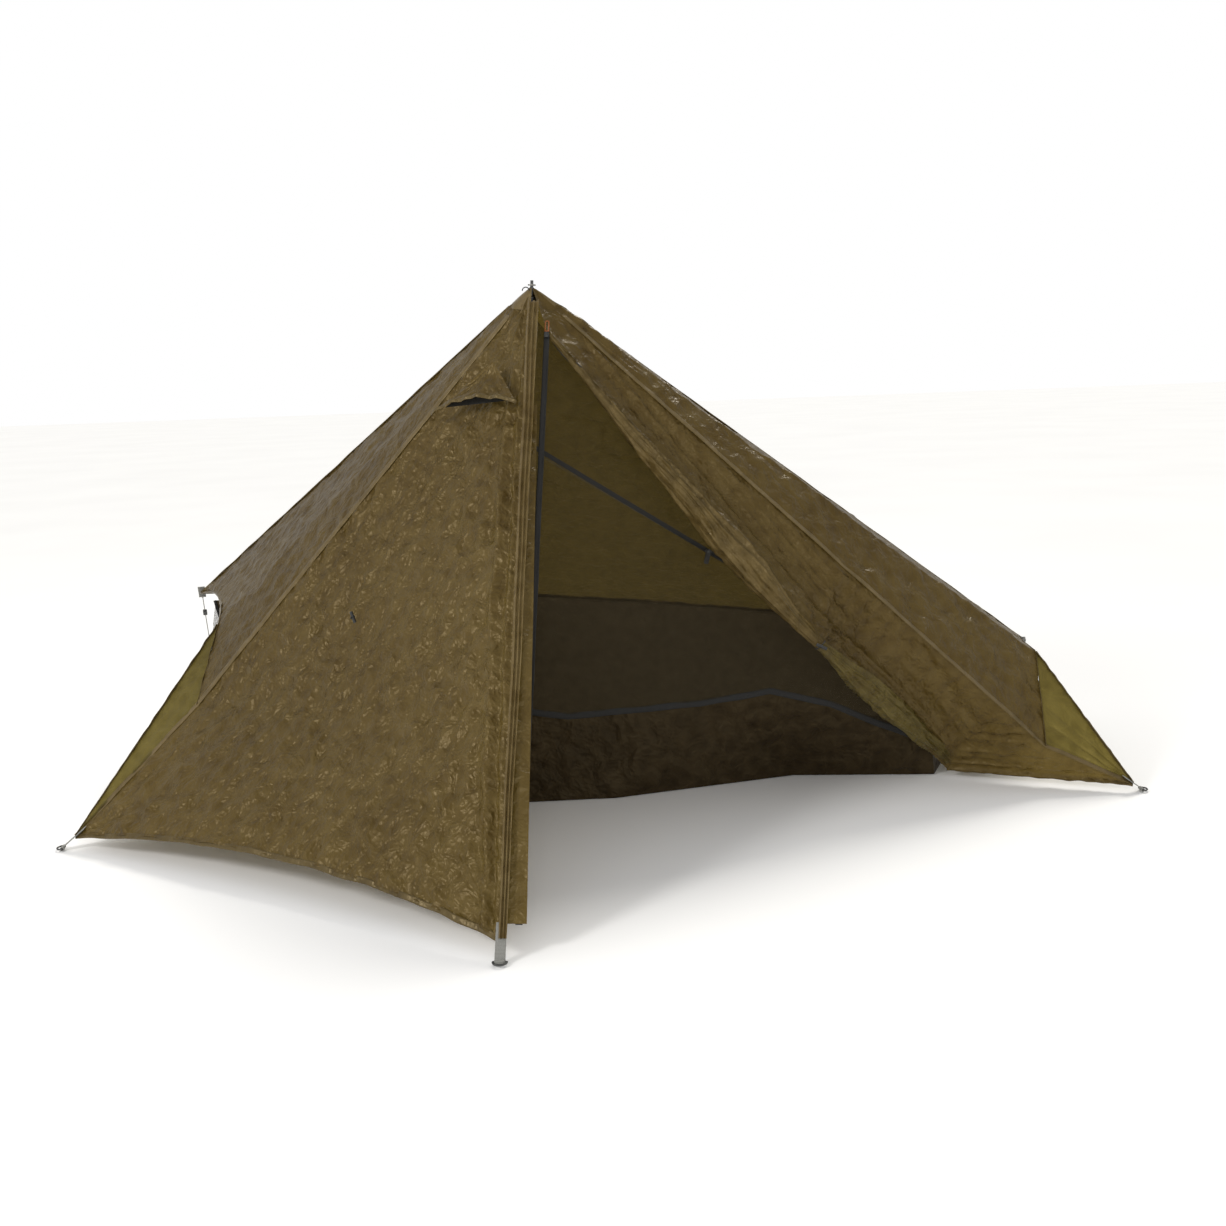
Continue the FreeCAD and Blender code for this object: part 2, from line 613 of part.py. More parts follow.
# ---------------------------------------------------------------- peak fittings
grommet = subtract(
    "peak_grommet",
    primitive("Cylinder", "peak_grommet_disc", Radius="dims.grommet_radius",
              Height="dims.grommet_ply"),
    primitive("Cylinder", "peak_grommet_hole", Radius="dims.spike_radius + dims.grommet_play",
              Height="dims.grommet_ply + 2", lift="-1"))
put(grommet, "peak_grommet", peak + pole_way, pole_turn)
loop_wire = size("cord_loop_wire")
loop_bend = size("peak_loop")
peak_loop = Part.makeTorus(loop_bend, loop_wire, Vector(), Vector(0, 1, 0))
peak_loop = peak_loop.common(Part.makeBox(40, 40, 40, Vector(-20, -20, 0)))
peak_loop.translate(peak + Vector(-size("grommet_radius") - 5, -4, -loop_bend - 2))
feature("peak_loop", peak_loop.Solids[0])

# ---------------------------------------------------------------- zip sliders, pull and tag
slider_gap = size("slider_gap")
slider_height = size("slider_height")
slider_length = size("slider_length")
zip_turn = facing(zip_way, zip_out)
slider_spot = zip_top + zip_way * (slider_length * 0.7) + zip_out * slider_gap
outer_slider = block("outer_slider", "dims.slider_length", "dims.slider_width",
                     "dims.slider_height", "dims.slider_width / 4")
put(outer_slider, "outer_slider", slider_spot, zip_turn)
pull_pivot = slider_spot - zip_way * (slider_length * 0.5 + 2.0)
pull_pivot = pull_pivot + zip_out * (slider_height * 0.5 + size("pull_lift"))
pull_turn = facing(zip_way * -1, zip_out)
pull_bend = size("pull_bend")
pull_reach = size("pull_reach")


def pull_loop():
    """A cord loop whose straight near end turns in the slider's nose, in its own frame along +X."""
    ring = Part.makeTorus(pull_bend, loop_wire, Vector(), Vector(0, 0, 1), 0, 360, 360)
    far = ring.common(Part.makeBox(20, 40, 10, Vector(0, -20, -5)))
    far.translate(Vector(pull_reach, 0, 0))
    near = Part.makeCylinder(loop_wire, pull_bend * 2, Vector(0, -pull_bend, 0), Vector(0, 1, 0))
    sides = []
    for turn in (-1, 1):
        corner = Vector(0, turn * pull_bend, 0)
        sides.append(Part.makeSphere(loop_wire, corner))
        sides.append(Part.makeCylinder(loop_wire, pull_reach, corner, Vector(1, 0, 0)))
    return near.multiFuse([far] + sides).Solids[0]


loop_shape = pull_loop()
loop_shape.Placement = Placement(pull_pivot, pull_turn)
feature("outer_pull", loop_shape)

inner_spot = at("diagonal_left") + diagonal_way * size("slider_rest")
inner_spot = inner_spot + down_tape * (inner_zip_width * 0.5) + wall_normal * slider_gap
inner_turn = facing(diagonal_way, wall_normal)
inner_body = block("inner_slider_body", "dims.slider_length", "dims.slider_width",
                   "dims.slider_height", "dims.slider_width / 4")
inner_rivet = primitive("Cylinder", "inner_slider_rivet", Radius="dims.tag_hole - 0.5",
                        Height="dims.slider_height + dims.tag_ply + 1.2")
inner_head = primitive("Cylinder", "inner_slider_head", Radius="dims.tag_hole + 1",
                       Height="1", lift="dims.slider_height + dims.tag_ply + 0.8")
inner_slider = join("inner_slider", inner_body, inner_rivet, inner_head)
put(inner_slider, "inner_slider", inner_spot, inner_turn)
tag_plate = block("inner_tag_plate", "dims.tag_length", "dims.tag_width", "dims.tag_ply",
                  "dims.tag_width / 3")
tag_drill = primitive("Cylinder", "inner_tag_drill", Radius="dims.tag_hole",
                      Height="dims.tag_ply + 2", shift="-dims.tag_length / 2 + dims.tag_neck",
                      lift="-1")
tag_turn = facing(Vector(-0.25, 0, -1) - wall_normal * Vector(-0.25, 0, -1).dot(wall_normal),
                  wall_normal)
tag_pivot = inner_spot + wall_normal * (slider_height + 0.4)
tag_reach = size("tag_length") / 2 - size("tag_neck")
put(subtract("inner_tag", tag_plate, tag_drill), "inner_tag",
    tag_pivot + tag_turn.multVec(Vector(tag_reach, 0, 0)), tag_turn)

# ---------------------------------------------------------------- toggles and webbing loops
toggle_radius = size("toggle_radius")
toggle_lift = size("toggle_lift")
toggle_knot = size("toggle_knot")


def toggle(name, spot, outward, lie):
    """A stick toggle that turns on the knotted cord through its middle."""
    turn = facing(lie, outward)
    knot_lift = toggle_lift + toggle_radius + toggle_knot + size("hinge_play")
    stem = Part.makeCylinder(loop_wire, knot_lift)
    knot = Part.makeSphere(toggle_knot, Vector(0, 0, knot_lift))
    cord = stem.fuse(knot)
    cord.Placement = Placement(spot, turn)
    stem_feature = feature("toggle_cord_" + name, cord.Solids[0])
    stick = primitive("Cylinder", "toggle_%s_stick" % name, Radius="dims.toggle_radius",
                      Height="dims.toggle_length")
    stick.Placement = Placement(Vector(-size("toggle_length") / 2, 0, 0),
                                Rotation(Vector(0, 1, 0), 90))
    bore = primitive("Cylinder", "toggle_%s_bore" % name,
                     Radius="dims.cord_loop_wire + dims.hinge_play",
                     Height="dims.toggle_radius * 2 + 2", lift="-dims.toggle_radius - 1")
    put(subtract("toggle_" + name, stick, bore), "toggle_" + name,
        spot + turn.multVec(Vector(0, 0, toggle_lift)), turn)
    return stem_feature


left_normal = (at("front") - peak).cross(at("left_seam") - peak).normalize()
if left_normal.y > 0:
    left_normal = left_normal * -1
left_stem = toggle("left", at("left_toggle"), left_normal, Vector(0.3, 0, -1))
right_stem = toggle("right", roll_tie + Vector(0, -1, 0) * size("roll_neck"),
                    Vector(0, -1, 0), Vector(1, 0, -0.5))
group("toggle_cords", left_stem, right_stem)
tie_ring = Part.makeTorus(size("roll_neck") + loop_wire, loop_wire, roll_tie, roll_way)
feature("roll_tie_cord", tie_ring)


def loop_at(name, spot):
    """A stitched webbing loop that stands on a seam."""
    width = size("strap_width") * 0.5
    outer = Part.makeCylinder(size("ridge_loop"), width, spot, Vector(0, 1, 0))
    inner = Part.makeCylinder(size("ridge_loop") - size("strap_ply"), width, spot,
                              Vector(0, 1, 0))
    return feature(name, outer.cut(inner).Solids[0])


group("ridge_loops", loop_at("left_ridge_loop", at("left_loop")),
      loop_at("right_ridge_loop", at("right_loop")))

# ---------------------------------------------------------------- corner straps and rings
strap_width = size("strap_width")
strap_ply = size("strap_ply")
eye_radius = size("strap_eye")
ring_wire = size("ring_wire")
ring_reach = size("ring_reach")
sewn_length = size("strap_sewn")
eyes = {}


def strap(name, corner, way, reach=None):
    """A webbing strap sewn over a corner, ending in a rolled eye whose place goes in eyes."""
    way = Vector(way).normalize()
    if reach is None:
        reach = (corner.z - eye_radius) / -way.z
    turn = facing(way, Vector(0, 0, 1))
    length = sewn_length + reach
    web = primitive("Box", "strap_%s_web" % name, Height="dims.strap_ply",
                    Width="dims.strap_width", side="-dims.strap_width / 2")
    web.Length = length
    web.Placement.Base.x = -sewn_length
    roll_end = primitive("Cylinder", "strap_%s_roll" % name, Radius="dims.strap_eye",
                         Height="dims.strap_width")
    roll_end.Placement = Placement(Vector(reach, -strap_width / 2, 0),
                                   Rotation(Vector(1, 0, 0), -90))
    bore = primitive("Cylinder", "strap_%s_bore" % name,
                     Radius="dims.ring_wire + dims.ring_clearance",
                     Height="dims.strap_width + 2")
    bore.Placement = Placement(Vector(reach, -strap_width / 2 - 1, 0),
                               Rotation(Vector(1, 0, 0), -90))
    whole = join("strap_%s_whole" % name, web, roll_end)
    eyes[name] = (corner + way * reach, turn.multVec(Vector(0, 1, 0)), way)
    return put(subtract("strap_" + name, whole, bore), "strap_" + name, corner, turn)


def ring(name, out):
    """A flat D ring whose straight bar lies in the strap's eye and whose bow points outwards."""
    centre, bar_way, _ = eyes[name]
    bow = Part.makeTorus(ring_reach, ring_wire)
    bow = bow.common(Part.makeBox(60, 60, 20, Vector(0, -30, -10)))
    bar = Part.makeCylinder(ring_wire, ring_reach * 2, Vector(0, -ring_reach, 0), Vector(0, 1, 0))
    ends = [Part.makeSphere(ring_wire, Vector(0, turn * ring_reach, 0)) for turn in (-1, 1)]
    shape = bow.multiFuse([bar] + ends).Solids[0]
    up = Vector(out).cross(bar_way)
    if up.z < 0:
        up = up * -1
    flat_out = bar_way.cross(up).normalize()
    if flat_out.dot(out) < 0:
        flat_out = flat_out * -1
    shape.Placement = Placement(centre, Rotation(flat_out, bar_way, up, "XYZ"))
    feature("ring_" + name, shape)


strap("front", at("front"), seam_way)
strap("left", at("left"), Vector(-32, -4, -26))
strap("right", at("right"), Vector(22, 1, -16))
ring("front", Vector(0, -1, 0))
ring("left", Vector(-1, -0.12, 0))
ring("right", Vector(1, 0.05, 0))

# ---------------------------------------------------------------- rear guy lines
line_radius = size("line_radius")
knot_radius = size("knot_radius")
peg_loop = size("peg_loop")
rear_reach = size("rear_strap_reach")
rear_straps = []
knots = []
nooses = []
for name in ("left", "right"):
    corner = at(name + "_rear")
    peg = at(name + "_peg")
    peg.z = line_radius
    guy_way = (peg - corner).normalize()
    rear_straps.append(strap("rear_" + name, corner, guy_way, rear_reach))
    start = eyes["rear_" + name][0] + guy_way * (eye_radius + knot_radius)
    stop = peg - guy_way * peg_loop
    stop.z = peg.z + 2.0
    middle = (start + stop) * 0.5 - Vector(0, 0, size("line_sag"))
    first = (middle - start).normalize()
    second = (stop - middle).normalize()
    half_turn = math.acos(first.dot(second)) / 2
    bend = 0.45 * min((middle - start).Length, (stop - middle).Length) / math.tan(half_turn)
    back = bend * math.tan(half_turn)
    inner_way = (second - first).normalize()
    arc_middle = middle + inner_way * (bend / math.cos(half_turn) - bend)
    path = Part.Wire([
        Part.LineSegment(start, middle - first * back).toShape(),
        Part.Arc(middle - first * back, arc_middle, middle + second * back).toShape(),
        Part.LineSegment(middle + second * back, stop).toShape()])
    section = Part.Wire([Part.Circle(start, first, line_radius).toShape().Edges[0]])
    line = path.makePipeShell([section], True, True)
    feature("guy_line_" + name, line.Solids[0])
    print("guy line", name, "length", round(path.Length), "radius", round(bend),
          "volume ratio", round(line.Volume / (math.pi * line_radius ** 2 * path.Length), 4),
          "points", [tuple(round(c, 1) for c in p) for p in (start, middle, stop)])
    knot_spot = eyes["rear_" + name][0] + guy_way * eye_radius
    knots.append(feature("guy_knot_" + name, Part.makeSphere(knot_radius, knot_spot)))
    noose = Part.makeTorus(peg_loop, line_radius, Vector(peg), Vector(0, 0, 1))
    noose_knot = Part.makeSphere(knot_radius - 1, stop)
    nooses.append(feature("peg_loop_" + name, noose.fuse(noose_knot).Solids[0]))

    tensioner_block = block("tensioner_%s_block" % name, "dims.tensioner_length",
                            "dims.tensioner_width", "dims.tensioner_height",
                            "dims.tensioner_width / 4")
    drill = primitive("Cylinder", "tensioner_%s_drill" % name,
                      Radius="dims.line_radius + dims.tensioner_play",
                      Height="dims.tensioner_length + 2")
    drill.Placement = Placement(Vector(-size("tensioner_length") / 2 - 1, 0,
                                       size("tensioner_height") / 2),
                                Rotation(Vector(0, 1, 0), 90))
    tensioner_turn = facing(first, Vector(0, 0, 1))
    drop = tensioner_turn.multVec(Vector(0, 0, -size("tensioner_height") / 2))
    put(subtract("tensioner_" + name, tensioner_block, drill), "tensioner_" + name,
        start + first * size("tensioner_rest") + drop, tensioner_turn)
group("rear_straps", *rear_straps)
group("guy_knots", *knots)
group("peg_loops", *nooses)

# ---------------------------------------------------------------- checks, then one file a piece
doc.recompute()
for item in doc.Objects:
    if "Invalid" in item.State or "Error" in item.State:
        raise RuntimeError("failed to build: " + item.Name)
for piece in pieces:
    if piece.Shape.isNull() or not piece.Shape.isValid():
        raise RuntimeError("bad shape: " + piece.Label)
os.makedirs("parts", exist_ok=True)
for piece in pieces:
    piece.Shape.exportStep(os.path.join("parts", piece.Label + ".step"))
print(len(pieces), "pieces written")
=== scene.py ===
"""A one-person tent on a single pole, sewn from thin coated nylon, with half of its door rolled open.

The script goes through the tent as it is put together: guy lines, canopy panels, seams and hems,
door roll, zips, inner wall, tub floor, straps and rings, then the pole and the small hardware.
"""
import math

import bmesh
import bpy
from mathutils import Matrix, Vector, kdtree, noise


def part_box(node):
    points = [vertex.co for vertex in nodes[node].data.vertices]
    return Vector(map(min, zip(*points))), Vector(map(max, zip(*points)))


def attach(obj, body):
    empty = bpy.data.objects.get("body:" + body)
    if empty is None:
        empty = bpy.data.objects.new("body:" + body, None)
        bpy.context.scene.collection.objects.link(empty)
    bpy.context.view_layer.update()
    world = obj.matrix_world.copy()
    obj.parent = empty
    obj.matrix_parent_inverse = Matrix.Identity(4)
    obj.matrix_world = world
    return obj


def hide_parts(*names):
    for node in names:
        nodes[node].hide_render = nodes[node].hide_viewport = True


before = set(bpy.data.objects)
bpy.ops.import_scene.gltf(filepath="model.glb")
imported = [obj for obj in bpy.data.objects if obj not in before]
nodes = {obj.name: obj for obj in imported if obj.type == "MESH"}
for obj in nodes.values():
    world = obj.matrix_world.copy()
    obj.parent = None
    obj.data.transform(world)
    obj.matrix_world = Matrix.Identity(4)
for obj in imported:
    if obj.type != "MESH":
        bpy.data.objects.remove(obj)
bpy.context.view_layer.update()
scene = bpy.context.scene
NOISE_SEED = 11
noise.seed_set(NOISE_SEED)

# ------------------------------------------------------------------ camera
# A phone held at chest height, a little over three metres from the pole, turned slightly.
YAW, PITCH, ROLL = -0.017, -0.186, -0.037
look = Vector((math.sin(YAW) * math.cos(PITCH), math.cos(YAW) * math.cos(PITCH), math.sin(PITCH)))
level = Vector((math.cos(YAW), -math.sin(YAW), 0))
upright = level.cross(look)
camera_right = level * math.cos(ROLL) + upright * math.sin(ROLL)
camera_up = upright * math.cos(ROLL) - level * math.sin(ROLL)
camera_data = bpy.data.cameras.new("camera")
camera_data.sensor_width = 36
camera_data.lens = 37.59
camera = bpy.data.objects.new("camera", camera_data)
camera.matrix_world = Matrix((camera_right, camera_up, -look)).transposed().to_4x4()
camera.matrix_world.translation = Vector((0.301, -3.038, 1.049))
scene.collection.objects.link(camera)
scene.camera = camera

# ------------------------------------------------------------------ rear guy lines
# Braided 2.5 mm line, pulled tight from the raised rear corners to the ground, with a knot at
# each end.  The grey sheath is woven from fine strands that spiral both ways.


def start_material(name):
    """A new node material with its shader, and its coordinates node."""
    made = bpy.data.materials.new(name)
    made.use_nodes = True
    tree = made.node_tree
    return made, tree, tree.nodes["Principled BSDF"], tree.nodes.new("ShaderNodeTexCoord")


def texture(tree, kind, where, **settings):
    """A texture node fed by a coordinates socket; settings are its inputs or its properties."""
    made = tree.nodes.new("ShaderNodeTex" + kind)
    tree.links.new(where, made.inputs["Vector"])
    for key, amount in settings.items():
        if hasattr(made, key):
            setattr(made, key, amount)
        else:
            made.inputs[key.replace("_", " ")].default_value = amount
    return made


def ramp(tree, source, *stops):
    """A colour ramp from (place, colour) stops."""
    made = tree.nodes.new("ShaderNodeValToRGB")
    tree.links.new(source, made.inputs["Fac"])
    while len(made.color_ramp.elements) < len(stops):
        made.color_ramp.elements.new(0.5)
    for element, (place, colour) in zip(made.color_ramp.elements, stops):
        element.position = place
        element.color = (*colour, 1)
    return made.outputs["Color"]


def maths(tree, operation, first, second):
    """A maths node; its inputs are sockets or numbers."""
    made = tree.nodes.new("ShaderNodeMath")
    made.operation = operation
    for socket, value in zip(made.inputs, (first, second)):
        if isinstance(value, (int, float)):
            socket.default_value = value
        else:
            tree.links.new(value, socket)
    return made.outputs["Value"]


def bump(tree, shader, height, strength, distance):
    made = tree.nodes.new("ShaderNodeBump")
    made.inputs["Strength"].default_value = strength
    made.inputs["Distance"].default_value = distance
    tree.links.new(height, made.inputs["Height"])
    tree.links.new(made.outputs["Normal"], shader.inputs["Normal"])
    return made


def braid(name, dark, light, pitch=520):
    """Braided line: two sets of diagonal strands."""
    made, tree, shader, where = start_material(name)
    strands = texture(tree, "Wave", where.outputs["Object"], Scale=pitch, Distortion=1.5,
                      Detail=1.0, bands_direction="DIAGONAL")
    tree.links.new(ramp(tree, strands.outputs["Fac"], (0.2, dark), (0.8, light)),
                   shader.inputs["Base Color"])
    shader.inputs["Roughness"].default_value = 0.75
    bump(tree, shader, strands.outputs["Fac"], 0.6, 0.0006)
    return made


LINE_RADIUS = 0.00125
line_cord = braid("grey_line", (0.10, 0.10, 0.09), (0.34, 0.33, 0.30))
ROUTES = {
    "left": [(-1.0088, 0.7827, 0.4222), (-1.0830, 1.0318, 0.1987), (-1.1573, 1.2810, 0.0032)],
    "right": [(1.4593, 0.7265, 0.2140), (1.5478, 0.9785, 0.0946), (1.6363, 1.2295, 0.0032)],
}
for side, route in ROUTES.items():
    curve = bpy.data.curves.new("guy_cord_" + side, "CURVE")
    curve.dimensions = "3D"
    spline = curve.splines.new("NURBS")
    spline.points.add(len(route) - 1)
    for point, place in zip(spline.points, route):
        point.co = (*place, 1)
    spline.order_u = 3
    spline.use_endpoint_u = True
    spline.resolution_u = 24
    curve.bevel_depth = LINE_RADIUS
    curve.use_fill_caps = True
    guy = bpy.data.objects.new("guy_cord_" + side, curve)
    scene.collection.objects.link(guy)
    curve.materials.append(line_cord)
    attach(guy, "canopy")
    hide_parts("guy_line_" + side)

# ------------------------------------------------------------------ floor and light
# A plain pale ground that runs out of sight, a bright overcast sky and one soft sun.
ground = bpy.data.objects.new("ground", bpy.data.meshes.new("ground"))
REACH = 40
BELOW = -0.002
ground.data.from_pydata([(-REACH, -REACH, BELOW), (REACH, -REACH, BELOW),
                         (REACH, REACH, BELOW), (-REACH, REACH, BELOW)], [], [(0, 1, 2, 3)])
scene.collection.objects.link(ground)
paper, tree, shader, where = start_material("pale_ground")
tone = texture(tree, "Noise", where.outputs["Object"], Scale=0.8, Detail=2.0)
tree.links.new(ramp(tree, tone.outputs["Fac"], (0.3, (0.93, 0.93, 0.93)), (0.7, (0.96, 0.96, 0.96))),
               shader.inputs["Base Color"])
shader.inputs["Roughness"].default_value = 0.9
shader.inputs["Specular IOR Level"].default_value = 0.1
ground.data.materials.append(paper)

sky = bpy.data.worlds.new("sky")
sky.use_nodes = True
sky_tree = sky.node_tree
sky_light = sky_tree.nodes["Background"]
sky_light.inputs["Color"].default_value = (1.0, 1.0, 1.0, 1)
sky_light.inputs["Strength"].default_value = 0.62
sky_seen = sky_tree.nodes.new("ShaderNodeBackground")
sky_seen.inputs["Color"].default_value = (1.0, 1.0, 1.0, 1)
sky_mix = sky_tree.nodes.new("ShaderNodeMixShader")
rays = sky_tree.nodes.new("ShaderNodeLightPath")
sky_tree.links.new(rays.outputs["Is Camera Ray"], sky_mix.inputs["Fac"])
sky_tree.links.new(sky_light.outputs["Background"], sky_mix.inputs[1])
sky_tree.links.new(sky_seen.outputs["Background"], sky_mix.inputs[2])
sky_tree.links.new(sky_mix.outputs["Shader"], sky_tree.nodes["World Output"].inputs["Surface"])
scene.world = sky
scene.view_settings.view_transform = "Standard"


def lamp(name, kind, place, aim, power, size, tint):
    data = bpy.data.lights.new(name, kind)
    data.energy = power
    data.color = tint
    if kind == "SUN":
        data.angle = size
    else:
        data.size = size
    made = bpy.data.objects.new(name, data)
    made.location = place
    made.rotation_euler = (Vector(aim) - Vector(place)).to_track_quat("-Z", "Y").to_euler()
    scene.collection.objects.link(made)


lamp("back_sun", "SUN", (1.5, 4.0, 5.0), (0, 0, 0.3), 1.8, 0.45, (1.0, 0.97, 0.90))
lamp("left_window", "AREA", (-3.6, -3.0, 3.2), (-0.3, -0.2, 0.5), 95, 1.0, (1.0, 0.98, 0.95))
lamp("low_front", "AREA", (0.6, -4.5, 2.2), (0.2, 0, 0.4), 25, 1.2, (1.0, 1.0, 1.0))

# ------------------------------------------------------------------ canopy panels
# Thin silicone-coated ripstop, cut flat and sewn.  It hangs between the ridges, pulled into
# pleats at the pegged corners and crumpled all over from being packed.


def corner(node, *way):
    """The point of a CAD node that is furthest along a direction."""
    way = Vector(way)
    return max((v.co for v in nodes[node].data.vertices), key=way.dot).copy()


def middle(node):
    low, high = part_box(node)
    return (low + high) * 0.5


peak = middle("peak_grommet")
CLOTH_PLY = 0.0012
peak.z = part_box("peak_grommet")[0].z - CLOTH_PLY
front = corner("left_door_panel", 0, -1, 0.02)
left = corner("left_door_panel", -1, -0.5, -0.3)
left_seam = corner("left_wing_panel", 1, -1, 0.2)
left_wing = corner("left_wing_panel", 0, 1, 1)
left_rear = corner("left_end_panel", -1, 1, -0.3)
right_rear = corner("right_end_panel", 1, 1, -0.3)
right_wing = corner("right_wing_panel", 0, 1, 1)
right_seam = corner("right_wing_panel", -1, -1, 0.2)
right = corner("right_wing_panel", 1, -1, -1)
zip_top = (corner("front_zip_left_tape", -0.1, 0, 1) + corner("front_zip_left_tape", 0.1, 0, 1)) / 2
roll_tie = middle("roll_tie_cord")
roll_hem = corner("right_door_panel", 0, 1, -1)
FRONT_RISE, REAR_RISE, END_RISE = 0.055, 0.075, 0.042


def polyline(*spots):
    """A function from 0..1 to a point, evenly by length, along straight runs."""
    lengths = [(b - a).length for a, b in zip(spots, spots[1:])]
    total = sum(lengths)

    def place(t):
        gone = max(0.0, min(1.0, t)) * total
        for (a, b), length in zip(zip(spots, spots[1:]), lengths):
            if gone <= length:
                return a.lerp(b, gone / length)
            gone -= length
        return spots[-1].copy()

    return place


def swag(start, end, towards, rise):
    """A hem that hangs up from the straight line between two corners, towards a third."""
    along = (end - start).normalized()
    lift = towards - (start + end) / 2
    lift = (lift - along * lift.dot(along)).normalized() * rise
    return lambda t: start.lerp(end, t) + lift * 4 * t * (1 - t)


def joined(first, second, share):
    """Two edge functions end to end: the first takes that share of the way."""
    return lambda t: first(t / share) if t < share else second((t - share) / (1 - share))


def fade(distance, width):
    """0 at an edge, 1 from width onwards, with no kink."""
    t = max(0.0, min(1.0, distance / width))
    return t * t * (3 - 2 * t)


FOLD_SETS = ((0.3, 0.070, 0.0050), (1.15, 0.052, 0.0042), (1.9, 0.083, 0.0058), (2.6, 0.045, 0.0038),
             (0.8, 0.026, 0.0020), (2.2, 0.023, 0.0018))


def crumple(x, y, seed, stretch=1.0):
    """The height of packed-in creases at a place on the cloth, in metres.

    Sharp folds cross in several directions; each set comes and goes over the cloth.
    """
    spot = Vector((x, y * stretch, seed * 3.7))
    warp = noise.noise_vector(spot * 5) * 0.030 + noise.noise_vector(spot * 17) * 0.008
    bent = spot + warp
    height = 0.0
    for k, (turn, spacing, depth) in enumerate(FOLD_SETS):
        along = (bent.x * math.cos(turn + seed) + bent.y * math.sin(turn + seed)) / spacing
        fold = abs(along - math.floor(along) - 0.5) * 2
        shown = fade(noise.noise(bent * (0.45 / spacing) + Vector((7.0 * k, 0, 0))) + 0.22, 0.55)
        height += depth * (fold - 0.5) * shown
    wide = noise.voronoi(bent * 21)[0]
    return height + 0.0055 * (wide[0] - 0.35) + 0.0045 * noise.noise(spot * 4.5)


def pleats(place, spot, across, count, depth, reach):
    """Folds that fan out from a pulled corner: the height at place."""
    away = place - spot
    distance = away.length
    if distance > reach * 3 or distance < 1e-6:
        return 0.0
    turn = math.atan2(away.dot(across[1]), away.dot(across[0]))
    wave = noise.noise(Vector((turn * count, distance * 2.5, spot.x * 5)))
    wave = 1 - 2 * abs(wave) ** 0.7
    return depth * wave * math.exp(-distance / reach) * fade(distance, 0.05)


def cut_size(length, width, area):
    """A cut's length and width: a panel that is bent in use is wider when it lies flat."""
    return length, max(width, area / length)


def cloth(name, shape, across, down, outward, extra=None, crease=1.0, stretch=1.0, seed=1.0,
          hold=0.022, open_edges=()):
    """A sheet of cloth over shape(u, v), creased along its normals.

    extra(u, v, place) adds its own height.  Creases fade at the sewn edges; open_edges names
    those, of top, bottom, first and last, where they don't.
    """
    grid = [[shape(i / across, j / down) for i in range(across + 1)] for j in range(down + 1)]
    tips = [grid[0][0], grid[0][across], grid[down][0], grid[down][across], grid[down][across // 2]]
    origin, far_tip = max(((a, b) for a in tips for b in tips), key=lambda two: (two[0] - two[1]).length)
    e1 = (far_tip - origin).normalized()
    rough_normal = Vector()
    for above, below in zip(grid, grid[1:]):
        for i in range(across):
            rough_normal += (above[i + 1] - below[i]).cross(above[i] - below[i + 1])
    if rough_normal.dot(outward) < 0:
        rough_normal = -rough_normal
    rough_normal.normalize()
    e2 = rough_normal.cross(e1).normalized()
    places, flat = [], []
    base_area = 0.0
    for j in range(down):
        for i in range(across):
            a, b = grid[j][i], grid[j][i + 1]
            c, d = grid[j + 1][i + 1], grid[j + 1][i]
            base_area += ((c - a).cross(d - b)).length / 2
    for j in range(down + 1):
        row_width = (grid[j][across] - grid[j][0]).length
        for i in range(across + 1):
            u, v = i / across, j / down
            here = grid[j][i]
            east = grid[j][min(i + 1, across)] - grid[j][max(i - 1, 0)]
            south = grid[min(j + 1, down)][i] - grid[max(j - 1, 0)][i]
            normal = east.cross(south)
            if normal.length < 1e-9:
                normal = rough_normal.copy()
            normal.normalize()
            if normal.dot(rough_normal) < 0:
                normal = -normal
            x, y = (here - origin).dot(e1), (here - origin).dot(e2)
            rim = 1.0
            if "first" not in open_edges:
                rim = min(rim, fade(u * row_width, hold))
            if "last" not in open_edges:
                rim = min(rim, fade((1 - u) * row_width, hold))
            if "top" not in open_edges:
                rim = min(rim, fade((here - grid[0][i]).length, hold))
            if "bottom" not in open_edges:
                rim = min(rim, fade((here - grid[down][i]).length, hold))
            height = crumple(x, y, seed, stretch) * crease
            if extra is not None:
                height += extra(u, v, here)
            moved = here + normal * height * rim
            moved.z = max(moved.z, 0.0)
            places.append(moved)
            flat.append((x, y))
    faces = []
    for j in range(down):
        for i in range(across):
            k = j * (across + 1) + i
            faces.append((k, k + across + 1, k + across + 2, k + 1))
    mesh = bpy.data.meshes.new(name)
    mesh.from_pydata([tuple(p) for p in places], [], faces)
    chart = mesh.uv_layers.new(name="cut")
    for loop in mesh.loops:
        chart.data[loop.index].uv = flat[loop.vertex_index]
    piece = bpy.data.objects.new(name, mesh)
    scene.collection.objects.link(piece)
    tidy_mesh(piece, rough_normal)
    widths = [p[0] for p in flat]
    heights = [p[1] for p in flat]
    size = cut_size(max(widths) - min(widths), max(heights) - min(heights), base_area)
    return piece, size, base_area


def tidy_mesh(piece, outward):
    """Welds a sheet's points, smooths it, and turns its faces to outward."""
    work = bmesh.new()
    work.from_mesh(piece.data)
    bmesh.ops.remove_doubles(work, verts=work.verts, dist=0.00005)
    total = Vector()
    for face in work.faces:
        face.smooth = True
        total += face.normal * face.calc_area()
    if total.dot(outward) < 0:
        bmesh.ops.reverse_faces(work, faces=work.faces)
    work.to_mesh(piece.data)
    work.free()


